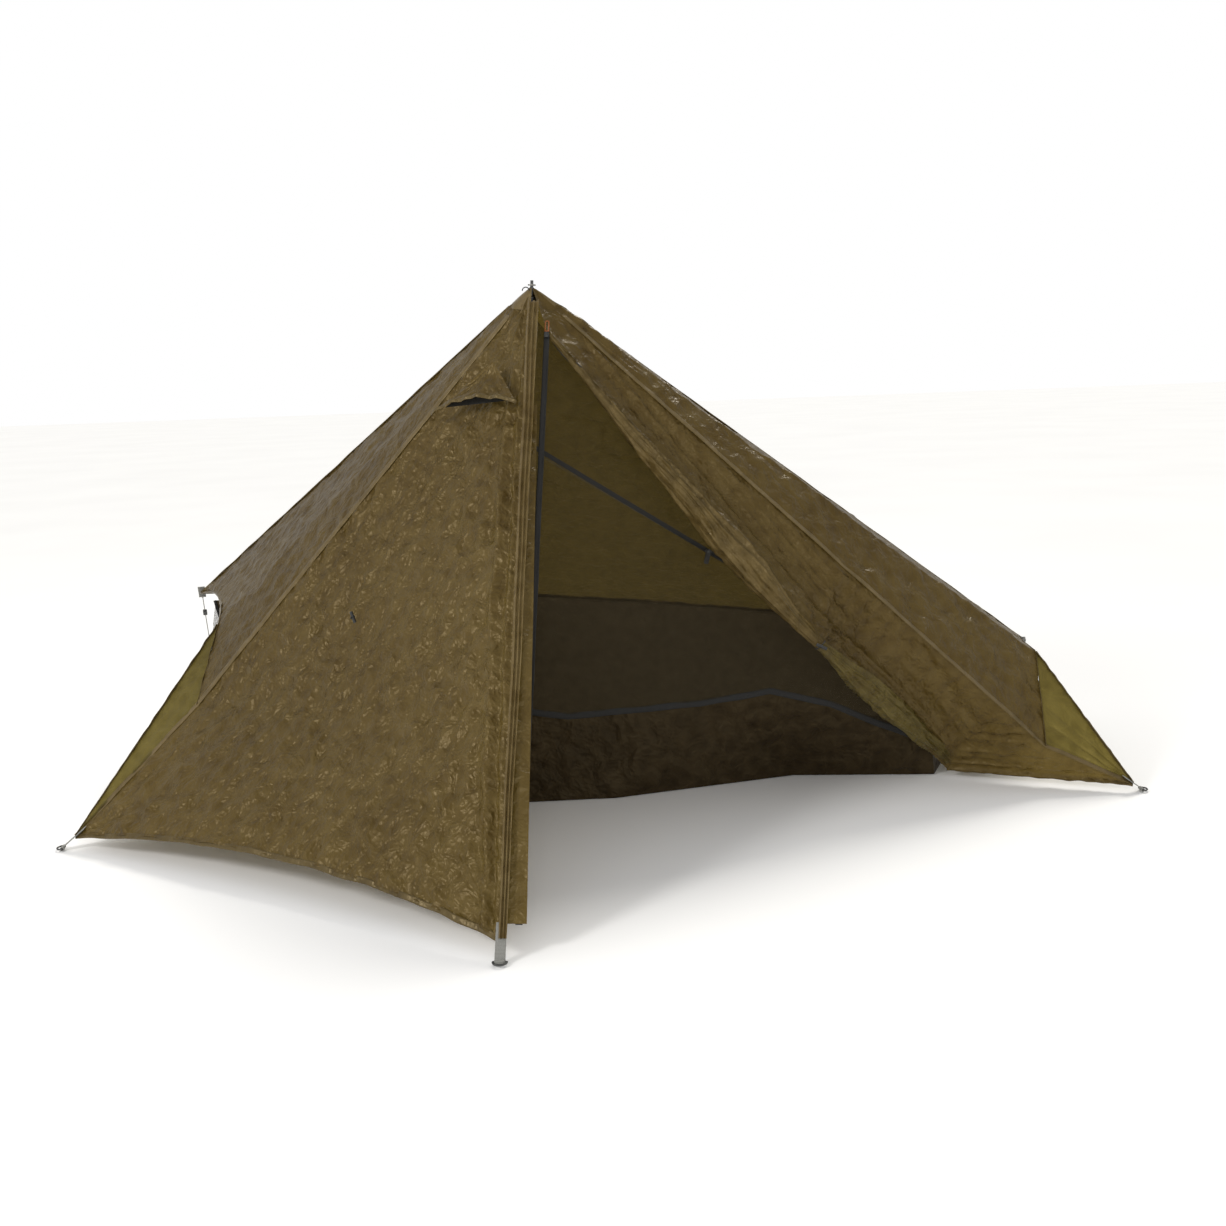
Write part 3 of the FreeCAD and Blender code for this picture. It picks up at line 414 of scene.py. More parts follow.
def nylon(name, dark, mid, light, glow, glow_share, crease=1.0, rough=0.36, shine=0.5):
    """Thin coated cloth: packed creases as bump, an uneven tone with painted shade in the crease hollows
    and a painted highlight on their raised edges, light through it from behind.
    """
    made, tree, shader, where = start_material(name)
    links = tree.links
    drift = texture(tree, "Noise", where.outputs["Object"], Scale=16.0, Detail=2.0)
    shift = tree.nodes.new("ShaderNodeVectorMath")
    shift.operation = "SCALE"
    links.new(drift.outputs["Color"], shift.inputs[0])
    shift.inputs["Scale"].default_value = 0.05
    bent = tree.nodes.new("ShaderNodeVectorMath")
    links.new(where.outputs["Object"], bent.inputs[0])
    links.new(shift.outputs[0], bent.inputs[1])
    folds = texture(tree, "Voronoi", bent.outputs[0], Scale=30.0)
    lines = texture(tree, "Wave", bent.outputs[0], Scale=5.5, Distortion=14.0, Detail=3.0,
                    wave_profile="TRI", bands_direction="DIAGONAL")
    wrinkles = texture(tree, "Voronoi", bent.outputs[0], Scale=90.0)
    streaks = texture(tree, "Noise", bent.outputs[0], Scale=120.0, Detail=3.0, Roughness=0.6)
    height = maths(tree, "MULTIPLY_ADD", maths(tree, "ADD", folds.outputs["Distance"],
                                               lines.outputs["Fac"]), 0.36)
    height.node.inputs[2].default_value = 0.0
    second = maths(tree, "MULTIPLY", wrinkles.outputs["Distance"], 0.27)
    third = maths(tree, "MULTIPLY", streaks.outputs["Fac"], 0.11)
    links.new(maths(tree, "ADD", second, third), height.node.inputs[2])
    weave = texture(tree, "Wave", where.outputs["UV"], Scale=95.0, Distortion=0.0)
    height_all = maths(tree, "ADD", height, maths(tree, "MULTIPLY", weave.outputs["Fac"], 0.006))
    bent_light = bump(tree, shader, height_all, 0.80 * crease, 0.010)
    # Colour: a random cloudy tone plus the crease relief itself, so the hollows of the creases are painted
    # darker and their raised edges painted lighter; the light through the cloth takes the same painted
    # shade.
    clouds = texture(tree, "Noise", where.outputs["Object"], Scale=3.2, Detail=5.0, Roughness=0.6)
    tone = maths(tree, "ADD", maths(tree, "MULTIPLY", clouds.outputs["Fac"], 0.75),
                 maths(tree, "MULTIPLY", folds.outputs["Distance"], 0.45))
    colour = ramp(tree, tone, (0.30, dark), (0.52, mid), (0.80, light))
    links.new(colour, shader.inputs["Base Color"])
    gloss = maths(tree, "MULTIPLY_ADD", streaks.outputs["Fac"], 0.18)
    gloss.node.inputs[2].default_value = rough - 0.09
    links.new(gloss, shader.inputs["Roughness"])
    shader.inputs["Specular IOR Level"].default_value = shine
    shader.inputs["Specular Tint"].default_value = (1.0, 0.80, 0.48, 1)
    through = tree.nodes.new("ShaderNodeBsdfTranslucent")
    tint = ramp(tree, tone, (0.25, tuple(0.72 * c for c in glow)), (0.80, glow))
    links.new(tint, through.inputs["Color"])
    links.new(bent_light.outputs["Normal"], through.inputs["Normal"])
    both = tree.nodes.new("ShaderNodeMixShader")
    both.inputs["Fac"].default_value = glow_share
    links.new(shader.outputs["BSDF"], both.inputs[1])
    links.new(through.outputs["BSDF"], both.inputs[2])
    links.new(both.outputs["Shader"], tree.nodes["Material Output"].inputs["Surface"])
    return made


canopy_nylon = nylon("canopy_nylon", (0.060, 0.036, 0.008), (0.092, 0.059, 0.015),
                     (0.118, 0.080, 0.024), (0.24, 0.170, 0.036), 0.28, rough=0.34, shine=0.5)
# The wing panels get a lighter copy of the canopy cloth, with more and brighter light through it: painted
# light for their being lit from behind.
lit_wing_nylon = nylon("lit_wing_nylon", (0.075, 0.055, 0.012), (0.110, 0.084, 0.019),
                   (0.15, 0.118, 0.032), (0.34, 0.27, 0.060), 0.45, crease=0.45)


def sew(piece, size, area, body_nodes, slot, material, held="stretched", rests=()):
    """Gives a sheet its cloth and its body, and hides the CAD nodes it stands for."""
    piece.data.materials.append(material)
    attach(piece, "canopy")
    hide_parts(*body_nodes)
    return piece


OUT_FRONT, OUT_BACK = Vector((-0.3, -1, 0.6)), Vector((0, 1, 0.6))
seam_line = polyline(peak, front)
left_ridge = polyline(peak, left_seam, left)
front_hem = swag(left, front, peak, FRONT_RISE)


def scallop(t, reach, seed):
    """How far a hem waves in and out at t: gathers of the binding."""
    return 0.0035 * noise.noise(Vector((t * reach * 16, seed, 0))) * math.sin(math.pi * t) ** 0.5


def left_door_shape(u, v):
    place = left_ridge(v).lerp(seam_line(v), u)
    hem = front_hem(u) - left.lerp(front, u)
    hem.z += scallop(u, 1.2, 4.0)
    belly = math.sin(math.pi * u) * math.sin(math.pi * v ** 1.3)
    return place + hem * v ** 3 + Vector((0.35, 0.8, -0.5)) * 0.022 * belly


left_door_axes = ((front - left).normalized(), (peak - (left + front) / 2).normalized())


def left_door_folds(u, v, place):
    """Long gathers beside the zip, and pleats from the three pulled corners."""
    away = (1 - u) * (left_ridge(v) - seam_line(v)).length
    wander = noise.noise(Vector((v * 5, 3, 0))) * 0.012
    gather = 0.0
    for middle_away, width, depth in ((0.020, 0.008, 0.011), (0.044, 0.010, -0.011),
                                      (0.070, 0.011, 0.010), (0.105, 0.016, -0.006)):
        fan = 0.35 + 0.65 * math.sin(math.pi * min(1, v * 0.93)) ** 0.8
        gather += depth * math.exp(-((away - middle_away * fan + wander) / width) ** 2)
    gather *= fade(v, 0.25) * (0.7 + 0.5 * noise.noise(Vector((v * 9, away * 20, 1))))
    height = gather
    height += pleats(place, front, left_door_axes, 5, 0.010, 0.22)
    height += pleats(place, left, left_door_axes, 7, 0.008, 0.22)
    height += pleats(place, peak, left_door_axes, 5, 0.008, 0.20)
    return height


sew(*cloth("left_door", left_door_shape, 250, 300, OUT_FRONT, left_door_folds, 1.0, 1.0, 1.0,
           open_edges=("bottom",)),
    ["left_door_panel"], "canopy_fabric", canopy_nylon)

end_axes = (Vector((0, -1, 0)), Vector((0.7, 0, 0.7)))
left_end_hem = joined(swag(left_rear, left_wing, peak, END_RISE), polyline(left_wing, left_seam), 0.70)
sew(*cloth("left_end", lambda u, v: peak.lerp(left_end_hem(u), v), 120, 170, Vector((-1, 0, 0.6)),
           lambda u, v, p: pleats(p, left_rear, end_axes, 5, 0.008, 0.25)
           + pleats(p, peak, end_axes, 6, 0.006, 0.25), 0.75, 1.0, 2.0, open_edges=("bottom",)),
    ["left_end_panel"], "canopy_fabric", canopy_nylon)

right_end_hem = joined(polyline(right_seam, right_wing), swag(right_wing, right_rear, peak, END_RISE),
                       0.31)
sew(*cloth("right_end", lambda u, v: peak.lerp(right_end_hem(u), v), 120, 190, Vector((1, 0, 0.8)),
           lambda u, v, p: pleats(p, right_rear, end_axes, 5, 0.008, 0.25)
           + pleats(p, peak, end_axes, 6, 0.006, 0.3), 0.75, 1.0, 3.0, open_edges=("bottom",)),
    ["right_end_panel"], "canopy_fabric", canopy_nylon)

rear_axes = (Vector((1, 0, 0)), Vector((0, -0.6, 0.8)))
rear_hem = swag(right_rear, left_rear, peak, REAR_RISE)
sew(*cloth("rear", lambda u, v: peak.lerp(rear_hem(u), v)
           + Vector((0, -0.6, -0.6)) * 0.020 * math.sin(math.pi * u) * math.sin(math.pi * v),
           230, 200, OUT_BACK,
           lambda u, v, p: pleats(p, left_rear, rear_axes, 6, 0.009, 0.3)
           + pleats(p, right_rear, rear_axes, 6, 0.009, 0.3)
           + pleats(p, peak, rear_axes, 8, 0.006, 0.3), 0.8, 1.0, 4.0, open_edges=("bottom",)),
    ["rear_panel"], "canopy_fabric", canopy_nylon)

right_ridge = polyline(peak, right_seam, right)
door_cut = polyline(peak, zip_top, roll_tie, roll_hem, right)
right_axes = (Vector((0.8, 0, -0.6)), Vector((0, -0.8, -0.6)))


def right_door_shape(u, v):
    place = door_cut(v).lerp(right_ridge(v), u)
    belly = math.sin(math.pi * u) * math.sin(math.pi * v)
    return place + Vector((-0.2, 0.8, -0.5)) * 0.030 * belly


def right_door_folds(u, v, place):
    """Shallow folds that run with the ridge, and pleats from the tie and the peg."""
    width = (door_cut(v) - right_ridge(v)).length
    runs = noise.noise(Vector((u * width * 26, v * 2.2, 8)))
    height = 0.007 * (1 - 2 * abs(runs)) * fade(v, 0.1)
    height += pleats(place, roll_tie, right_axes, 5, 0.014, 0.16)
    height += pleats(place, right, right_axes, 6, 0.006, 0.3)
    return height


sew(*cloth("right_door", right_door_shape, 130, 330, Vector((0.2, -1, 0.7)), right_door_folds,
           0.85, 1.0, 5.0, open_edges=("first",)),
    ["right_door_panel"], "canopy_fabric", canopy_nylon)

for side, tip, seam, top, outward, seed in (
        ("left", left, left_seam, left_wing, Vector((-1, 0.6, 0.4)), 6.0),
        ("right", right, right_seam, right_wing, Vector((1, 0.6, 0.4)), 7.0)):
    edge = polyline(seam, top)
    wing_axes = ((top - seam).normalized(), (seam - tip).normalized())
    sew(*cloth(side + "_wing", lambda u, v, tip=tip, edge=edge: tip.lerp(edge(u), v), 60, 110,
               outward, lambda u, v, p, tip=tip, ax=wing_axes: pleats(p, tip, ax, 9, 0.005, 0.2),
               0.35, 1.0, seed, open_edges=("first", "last")),
        [side + "_wing_panel"], "wing_fabric", lit_wing_nylon)

# ------------------------------------------------------------------ hems, ridges and their stitches
# The panels meet in flat-felled seams, and every free edge is turned under a folded binding.
# Both are rows of small stitches in a paler thread.


def closed_tube(name, rows):
    """A closed piece from rings of points, one after another, with a cap at each end."""
    count = len(rows[0])
    last = (len(rows) - 1) * count
    faces = []
    for first in range(0, last, count):
        for i in range(count):
            a, b = first + i, first + (i + 1) % count
            faces.append((a, b, b + count, a + count))
    faces.append(tuple(reversed(range(count))))
    faces.append(tuple(range(last, last + count)))
    mesh = bpy.data.meshes.new(name)
    mesh.from_pydata([tuple(p) for row in rows for p in row], [], faces)
    piece = bpy.data.objects.new(name, mesh)
    scene.collection.objects.link(piece)
    round_off(piece)
    return piece


def strip(name, path, width, lie, steps, material, height=0.0012, ripple=0.0, seed=1.0):
    """A folded strip along path(t), flat across lie(t), a little padded; ripple waves its edge."""
    rows = []
    profile = ((-0.5, 0.0), (-0.46, 0.8), (-0.25, 1.0), (0.0, 0.9), (0.25, 1.0), (0.46, 0.8), (0.5, 0.0),
               (0.25, -0.4), (-0.25, -0.4))
    for k in range(steps + 1):
        t = k / steps
        along = (path(min(1, t + 0.5 / steps)) - path(max(0, t - 0.5 / steps))).normalized()
        up = lie(t)
        up = (up - along * up.dot(along)).normalized()
        across = along.cross(up)
        lift = ripple * noise.noise(Vector((t * steps * 0.12, seed, 3)))
        sway = ripple * noise.noise(Vector((t * steps * 0.09, seed, 9)))
        here = path(t)
        rows.append([here + across * (width * x + sway) + up * (height * z + lift) for x, z in profile])
    piece = closed_tube(name, rows)
    piece.data.materials.append(material)
    return piece


def round_off(piece):
    """Smooth shading, and faces outwards, on a closed piece."""
    work = bmesh.new()
    work.from_mesh(piece.data)
    bmesh.ops.recalc_face_normals(work, faces=work.faces)
    for face in work.faces:
        face.smooth = True
    work.to_mesh(piece.data)
    work.free()


def node_group(name, **inputs):
    """An empty node tree for geometry, its input node, and its output node."""
    group = bpy.data.node_groups.new(name, "GeometryNodeTree")
    group.interface.new_socket("Geometry", in_out="INPUT", socket_type="NodeSocketGeometry")
    for key, start in inputs.items():
        socket = group.interface.new_socket(key, in_out="INPUT", socket_type="NodeSocketFloat")
        socket.default_value = start
    group.interface.new_socket("Geometry", in_out="OUTPUT", socket_type="NodeSocketGeometry")
    return group, group.nodes.new("NodeGroupInput"), group.nodes.new("NodeGroupOutput")


def repeat_group(name, shape, material):
    """Sets a small shape again and again along a line, turned with it."""
    group, given, result = node_group(name, Spacing=0.004, Size=0.001)
    add, link = group.nodes.new, group.links.new
    curve = add("GeometryNodeMeshToCurve")
    even = add("GeometryNodeResampleCurve")
    even.mode = "LENGTH"
    link(given.outputs["Geometry"], curve.inputs["Mesh"])
    link(curve.outputs["Curve"], even.inputs["Curve"])
    link(given.outputs["Spacing"], even.inputs["Length"])
    if shape == "stitch":
        part = add("GeometryNodeMeshCylinder")
        part.inputs["Vertices"].default_value = 5
        part.inputs["Radius"].default_value = 0.30
        part.inputs["Depth"].default_value = 2.6
    else:
        part = add("GeometryNodeMeshCube")
        part.inputs["Size"].default_value = (2.6, 1.0, 0.7)
    turned = add("FunctionNodeAlignRotationToVector")
    turned.axis = "Z"
    tangent = add("GeometryNodeInputTangent")
    link(tangent.outputs["Tangent"], turned.inputs["Vector"])
    copies = add("GeometryNodeInstanceOnPoints")
    link(even.outputs["Curve"], copies.inputs["Points"])
    link(part.outputs["Mesh"], copies.inputs["Instance"])
    link(turned.outputs["Rotation"], copies.inputs["Rotation"])
    link(given.outputs["Size"], copies.inputs["Scale"])
    real = add("GeometryNodeRealizeInstances")
    painted = add("GeometryNodeSetMaterial")
    painted.inputs["Material"].default_value = material
    link(copies.outputs["Instances"], real.inputs["Geometry"])
    link(real.outputs["Geometry"], painted.inputs["Geometry"])
    link(painted.outputs["Geometry"], result.inputs["Geometry"])
    return group


def repeat_along(name, paths, group, spacing, size, steps=120):
    """Real copies of a node group's small shape along several paths."""
    mesh = bpy.data.meshes.new(name)
    places, edges = [], []
    for path in paths:
        first = len(places)
        places += [tuple(path(k / steps)) for k in range(steps + 1)]
        edges += [(first + k, first + k + 1) for k in range(steps)]
    mesh.from_pydata(places, edges, [])
    piece = bpy.data.objects.new(name, mesh)
    scene.collection.objects.link(piece)
    grown = piece.modifiers.new("repeat", "NODES")
    grown.node_group = group
    for item in group.interface.items_tree:
        if item.in_out == "INPUT" and item.name == "Spacing":
            grown[item.identifier] = spacing
        if item.in_out == "INPUT" and item.name == "Size":
            grown[item.identifier] = size
    depsgraph = bpy.context.evaluated_depsgraph_get()
    made = bpy.data.meshes.new_from_object(piece.evaluated_get(depsgraph))
    piece.modifiers.clear()
    piece.data = made
    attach(piece, "canopy")
    return piece


def plain_shader(name, first, second, scale, rough, metal=0.0, depth=0.2, kind="Noise"):
    """A material for a small part: two tones in a fine grain, with the grain as relief."""
    made, tree, shader, where = start_material(name)
    grain = texture(tree, kind, where.outputs["Object"], Scale=scale)
    source = grain.outputs["Distance"] if kind == "Voronoi" else grain.outputs["Fac"]
    tree.links.new(ramp(tree, source, (0.3, first), (0.7, second)), shader.inputs["Base Color"])
    shader.inputs["Roughness"].default_value = rough
    shader.inputs["Metallic"].default_value = metal
    bump(tree, shader, source, depth, 0.0005)
    return made


thread = plain_shader("thread", (0.16, 0.12, 0.05), (0.26, 0.20, 0.10), 900, 0.6)
stitch = repeat_group("stitches", "stitch", thread)
binding = nylon("binding_nylon", (0.050, 0.034, 0.012), (0.075, 0.052, 0.018), (0.10, 0.072, 0.028),
                (0.20, 0.15, 0.05), 0.06, crease=0.5)
ridge_nylon = nylon("ridge_nylon", (0.085, 0.060, 0.022), (0.120, 0.085, 0.034),
                    (0.16, 0.115, 0.050), (0.30, 0.22, 0.06), 0.12, crease=0.5)
STITCH_PITCH, STITCH_SIZE = 0.0042, 0.0008


def waved_front_hem(t):
    return front_hem(t) + Vector((0, 0, scallop(t, 1.2, 4.0)))


def from_peak(path):
    """The part of a ridge below the peak patch."""
    return lambda t: path(0.05 + 0.95 * t)


left_side = Vector((-0.5, -0.6, 0.6))
right_side = Vector((0.4, -0.6, 0.7))
bands = [
    ("left_ridge", from_peak(left_ridge), 0.016, left_side, ridge_nylon, 0.0015),
    ("right_ridge", from_peak(right_ridge), 0.014, right_side, ridge_nylon, 0.0015),
    ("left_rear_ridge", from_peak(polyline(peak, left_rear)), 0.014, Vector((-0.6, 0.5, 0.6)),
     ridge_nylon, 0.0015),
    ("right_rear_ridge", from_peak(polyline(peak, right_rear)), 0.014, Vector((0.4, 0.6, 0.7)),
     ridge_nylon, 0.0015),
    ("front_hem", waved_front_hem, 0.013, OUT_FRONT, binding, 0.004),
    ("rear_hem", rear_hem, 0.013, OUT_BACK, binding, 0.003),
    ("left_end_hem", left_end_hem, 0.012, Vector((-1, 0, 0.5)), binding, 0.002),
    ("right_end_hem", right_end_hem, 0.012, Vector((1, 0, 0.5)), binding, 0.002),
    ("left_wing_seam", polyline(left, left_wing), 0.011, Vector((-1, 0.5, 0.3)), binding, 0.002),
    ("right_wing_seam", polyline(right, right_wing), 0.011, Vector((1, 0.5, 0.3)), binding, 0.002),
    ("right_front_hem", polyline(roll_hem, right), 0.014, Vector((0.2, -1, 0.6)), binding, 0.004),
]
for name, path, width, lie, material, ripple in bands:
    sewn = strip(name, path, width, lambda t, lie=lie: lie, 160, material, 0.0012, ripple, 5.0)
    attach(sewn, "canopy")
    across = (path(1) - path(0)).cross(lie).normalized() * (0.30 * width)
    lifted = across.cross(path(0) - path(1)).normalized() * 0.0012
    rows = [lambda t, path=path, shift=lifted + across * side: path(0.002 + 0.996 * t) + shift
            for side in (-1, 1)]
    repeat_along(name + "_stitches", rows, stitch, STITCH_PITCH, STITCH_SIZE)

# ------------------------------------------------------------------ storm flap and zip facing
# A double strip of canopy cloth folded over the front zip, gathered along its length, and the
# wider facing that stiffens the closed half of the door beside the zip.


MIDDLE_X = 0.25


def cut_finer(work, step, rounds, even=False):
    """Splits a mesh's long edges until all are at most step."""
    for _ in range(rounds):
        long_edges = [e for e in work.edges if e.calc_length() > step]
        if not long_edges:
            break
        bmesh.ops.subdivide_edges(work, edges=long_edges, cuts=1)
        bmesh.ops.triangulate(work, faces=[f for f in work.faces if len(f.verts) > 3])
        if even:
            bmesh.ops.beautify_fill(work, faces=work.faces, edges=work.edges)


def skin(name, node, outward, step, crease, seed, hold=0.02, flat_side=0.25, end=0):
    """One side of a CAD sheet as a fine mesh with creases: a copy, so the node isn't changed.

    end picks the left (-1) or right (1) part of a node that has one at each end of the tent.
    """
    outward = Vector(outward).normalized()
    source = nodes[node].data
    work = bmesh.new()
    work.from_mesh(source)
    unwanted = [f for f in work.faces if f.normal.dot(outward) < flat_side
                or f.calc_center_median().x * end < MIDDLE_X * end]
    bmesh.ops.delete(work, geom=unwanted, context="FACES")
    bmesh.ops.remove_doubles(work, verts=work.verts, dist=0.0006)
    bmesh.ops.dissolve_limit(work, angle_limit=0.02, verts=work.verts, edges=work.edges)
    bmesh.ops.triangulate(work, faces=work.faces)
    cut_finer(work, step, 9, even=True)
    work.normal_update()
    area = sum(f.calc_area() for f in work.faces)
    rim = [v.co.copy() for v in work.verts if v.is_boundary]
    tree = kdtree.KDTree(len(rim))
    for k, spot in enumerate(rim):
        tree.insert(spot, k)
    tree.balance()
    far_pair = max(((a, b) for a in rim[::9] for b in rim[::9]), key=lambda two: (two[0] - two[1]).length)
    e1 = (far_pair[1] - far_pair[0]).normalized()
    e2 = outward.cross(e1).normalized()
    moves = {}
    for v in work.verts:
        x, y = (v.co - far_pair[0]).dot(e1), (v.co - far_pair[0]).dot(e2)
        height = crumple(x, y, seed) * crease
        moves[v] = (x, y, v.normal * height * fade(tree.find(v.co)[2], hold))
    chart = work.loops.layers.uv.new("cut")
    for f in work.faces:
        f.smooth = True
        for loop in f.loops:
            loop[chart].uv = moves[loop.vert][:2]
    for v, (x, y, move) in moves.items():
        v.co += move
    mesh = bpy.data.meshes.new(name)
    work.to_mesh(mesh)
    work.free()
    piece = bpy.data.objects.new(name, mesh)
    scene.collection.objects.link(piece)
    xs = [m[0] for m in moves.values()]
    ys = [m[1] for m in moves.values()]
    return piece, cut_size(max(xs) - min(xs), max(ys) - min(ys), area), area


zip_way = (front - peak).normalized()
zip_side = (Vector((1, 0, 0)) - zip_way * zip_way.x).normalized()
zip_out = zip_side.cross(zip_way)
if zip_out.y > 0:
    zip_out = -zip_out
seam_length = (front - peak).length
FLAP_START = 0.045
FLAP_LEFT, FLAP_RIGHT, FLAP_TAPER = -0.008, 0.0185, 0.4
FLAP_PLEATS, FLAP_PLEAT_DEPTH = 2.6, 0.0052
FULL_TURN = 6.2832


def flap_shape(u, v):
    """Three soft pleats side by side that narrow towards the hem."""
    gone = FLAP_START + (seam_length - FLAP_START) * v
    left_edge, right_edge = FLAP_LEFT * (1 - FLAP_TAPER * v), FLAP_RIGHT * (1 - FLAP_TAPER * v)
    side = left_edge + (right_edge - left_edge) * u
    wander = 0.22 * noise.noise(Vector((v * 7, 1, 0)))
    ridge = 0.5 - 0.5 * math.cos(FULL_TURN * (FLAP_PLEATS * u + wander))
    twist = noise.noise(Vector((v * 14, u * 2, 5)))
    lift = 0.0028 + FLAP_PLEAT_DEPTH * ridge + 0.002 * twist
    sway = 0.004 * noise.noise(Vector((v * 4.2, 8, 0))) * math.sin(math.pi * v)
    return peak + zip_way * gone + zip_side * (side + sway) + zip_out * lift


flap_nylon = nylon("flap_nylon", (0.080, 0.052, 0.018), (0.115, 0.078, 0.028),
                   (0.16, 0.115, 0.048), (0.30, 0.22, 0.06), 0.10, crease=0.7)
flap_piece, flap_size, flap_area = cloth("flap", flap_shape, 28, 330, zip_out, None, 0.10, 0.3, 8.0,
                                         hold=0.004, open_edges=("first", "last"))
sew(flap_piece, flap_size, flap_area, ["storm_flap"], "canopy_fabric", flap_nylon)

FACING_START, FACING_END = 0.32, 0.028
FACING_WIDTH, FACING_FLARE, FACING_BACK = 0.024, 0.022, 0.003


def facing_shape(u, v):
    gone = FACING_START + (seam_length - FACING_END - FACING_START) * v
    side = 0.002 + (FACING_WIDTH + FACING_FLARE * v - 0.002) * u
    wave = 0.004 * noise.noise(Vector((v * 8, u * 1.5, 2))) * math.sin(math.pi * v)
    return peak + zip_way * gone + zip_side * side + zip_out * (wave - FACING_BACK)


sew(*cloth("facing", facing_shape, 14, 240, zip_out, None, 0.12, 0.3, 9.0, hold=0.005,
           open_edges=("last",)), ["zip_facing"], "canopy_fabric", canopy_nylon)

# ------------------------------------------------------------------ front zip
# A number 5 coil zip on woven tape.  The left half hangs beside the closed door; the right half
# goes up with the rolled door.
zip_black = plain_shader("zip_tape_black", (0.006, 0.006, 0.006), (0.020, 0.019, 0.017), 700, 0.7,
                         0.0, 0.5, "Voronoi")
coil_black = plain_shader("coil_black", (0.010, 0.010, 0.010), (0.035, 0.034, 0.032), 500, 0.35)
coil = repeat_group("coil", "tooth", coil_black)
COIL_PITCH, COIL_SIZE = 0.0022, 0.0011
tape_top = zip_top.copy()
tape_bottom = corner("front_zip_left_tape", 0, -1, -1)
tape_path = polyline(tape_top, tape_bottom)
roll_way = (roll_tie - zip_top).normalized()
roll_out = (Vector((-0.3, -1, 0.4)) - roll_way * Vector((-0.3, -1, 0.4)).dot(roll_way)).normalized()
roll_across = roll_way.cross(roll_out).normalized()
if roll_across.x > 0:
    roll_across = -roll_across
ROLL_START, TAPE_WIDTH, TAPE_CUT = 0.026, 0.013, 0.0132
tape_start = zip_top + roll_way * ROLL_START
right_tape_path = polyline(tape_start, roll_tie)
left_tape = strip("left_tape", tape_path, TAPE_WIDTH, lambda t: zip_out, 150, zip_black, 0.0009, 0.002, 2.0)
right_tape = strip("right_tape", right_tape_path, TAPE_WIDTH, lambda t: roll_out, 150, zip_black, 0.0009,
                   0.003, 3.0)
for tape, node, length in ((left_tape, "front_zip_left_tape", (tape_top - tape_bottom).length),
                           (right_tape, "front_zip_right_tape", (roll_tie - tape_start).length)):
    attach(tape, "canopy")
    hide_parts(node)
repeat_along("left_coil", [lambda t: tape_path(t) + zip_side * 0.0052 + zip_out * 0.0012], coil, COIL_PITCH,
             COIL_SIZE)
repeat_along("right_coil", [lambda t: right_tape_path(t) + roll_across * 0.0052 + roll_out * 0.0012],
             coil, COIL_PITCH, COIL_SIZE)

# ------------------------------------------------------------------ rolled half of the door
# The right half is rolled up on itself towards the ridge and held by a cord and toggle, so its
# layers lie side by side in long folds; below the tie the loose end spreads out again.


def roll_radius(t, tail):
    """The roll's radius along it: slim at the zip, full before the tie, full again in the tail."""
    marks = ((0.0, 0.013), (0.42, 0.034), (1.0, 0.020)) if tail else ((0.0, 0.0065), (0.72, 0.036),
                                                                     (0.97, 0.015), (1.0, 0.013))
    for (a, ra), (b, rb) in zip(marks, marks[1:]):
        if t <= b:
            s = (t - a) / (b - a)
            return ra + (rb - ra) * (s * s * (3 - 2 * s))
    return marks[-1][1]


def rolled(name, path, lie, around, steps, tail, folds, seed):
    """A closed tube with long sharp folds, flattened against the panel behind it."""
    rows = []
    for k in range(steps + 1):
        t = k / steps
        along = (path(min(1, t + 0.01)) - path(max(0, t - 0.01))).normalized()
        up = (lie - along * lie.dot(along)).normalized()
        across = along.cross(up)
        radius = roll_radius(t, tail)
        sag = Vector((0, 0, -1)) * 0.010 * math.sin(math.pi * t) * (0 if tail else 1)
        bend = across * 0.006 * noise.noise(Vector((t * 5, seed, 0)))
        row = []
        for i in range(around):
            turn = 2 * math.pi * i / around
            x, z = math.cos(turn), math.sin(turn)
            drift = 0.9 * noise.noise(Vector((x * 1.2 + seed, z * 1.2, t * 3.2)))
            crest = 1 - abs(math.sin(folds * 0.5 * (turn + drift + 0.7 * t)))
            finer = 1 - abs(noise.noise(Vector((x * 5 + seed, z * 5, t * 16)))) * 2
            swell = 0.76 + 0.32 * crest ** 3 + 0.06 * finer
            if tail:
                swell += 0.16 * noise.noise(Vector((x * 2.6, z * 2.6 + seed, t * 6)))
            row.append(path(t) + sag + bend + across * x * radius * swell
                       + up * (0.80 * z * radius * swell))
        rows.append(row)
    return closed_tube(name, rows)


roll_nylon = nylon("roll_nylon", (0.044, 0.028, 0.008), (0.070, 0.046, 0.013), (0.125, 0.086, 0.030),
                   (0.26, 0.20, 0.05), 0.08, crease=0.8, rough=0.30)
# The loose tail below the tie gets a lighter copy of the roll's cloth, with brighter and stronger light
# through it than even the single canopy: painted light for its being lit from behind.
lit_tail_nylon = nylon("lit_tail_nylon", (0.055, 0.038, 0.008), (0.085, 0.062, 0.014), (0.13, 0.100, 0.026),
                   (0.45, 0.36, 0.08), 0.25, crease=1.0)
roll_hang = Vector((-0.35, -1, 0.25))
roll = rolled("roll", polyline(zip_top + roll_way * 0.004, roll_tie), roll_hang, 96, 420, False, 7, 2.0)
tail_end = roll_hem + Vector((0, -0.006, 0.027))
tail = rolled("roll_tail", polyline(roll_tie, tail_end), roll_hang, 110, 300, True, 6, 6.0)
roll.data.materials.append(roll_nylon)
tail.data.materials.append(lit_tail_nylon)
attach(roll, "canopy")
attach(tail, "canopy")
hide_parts("door_roll")

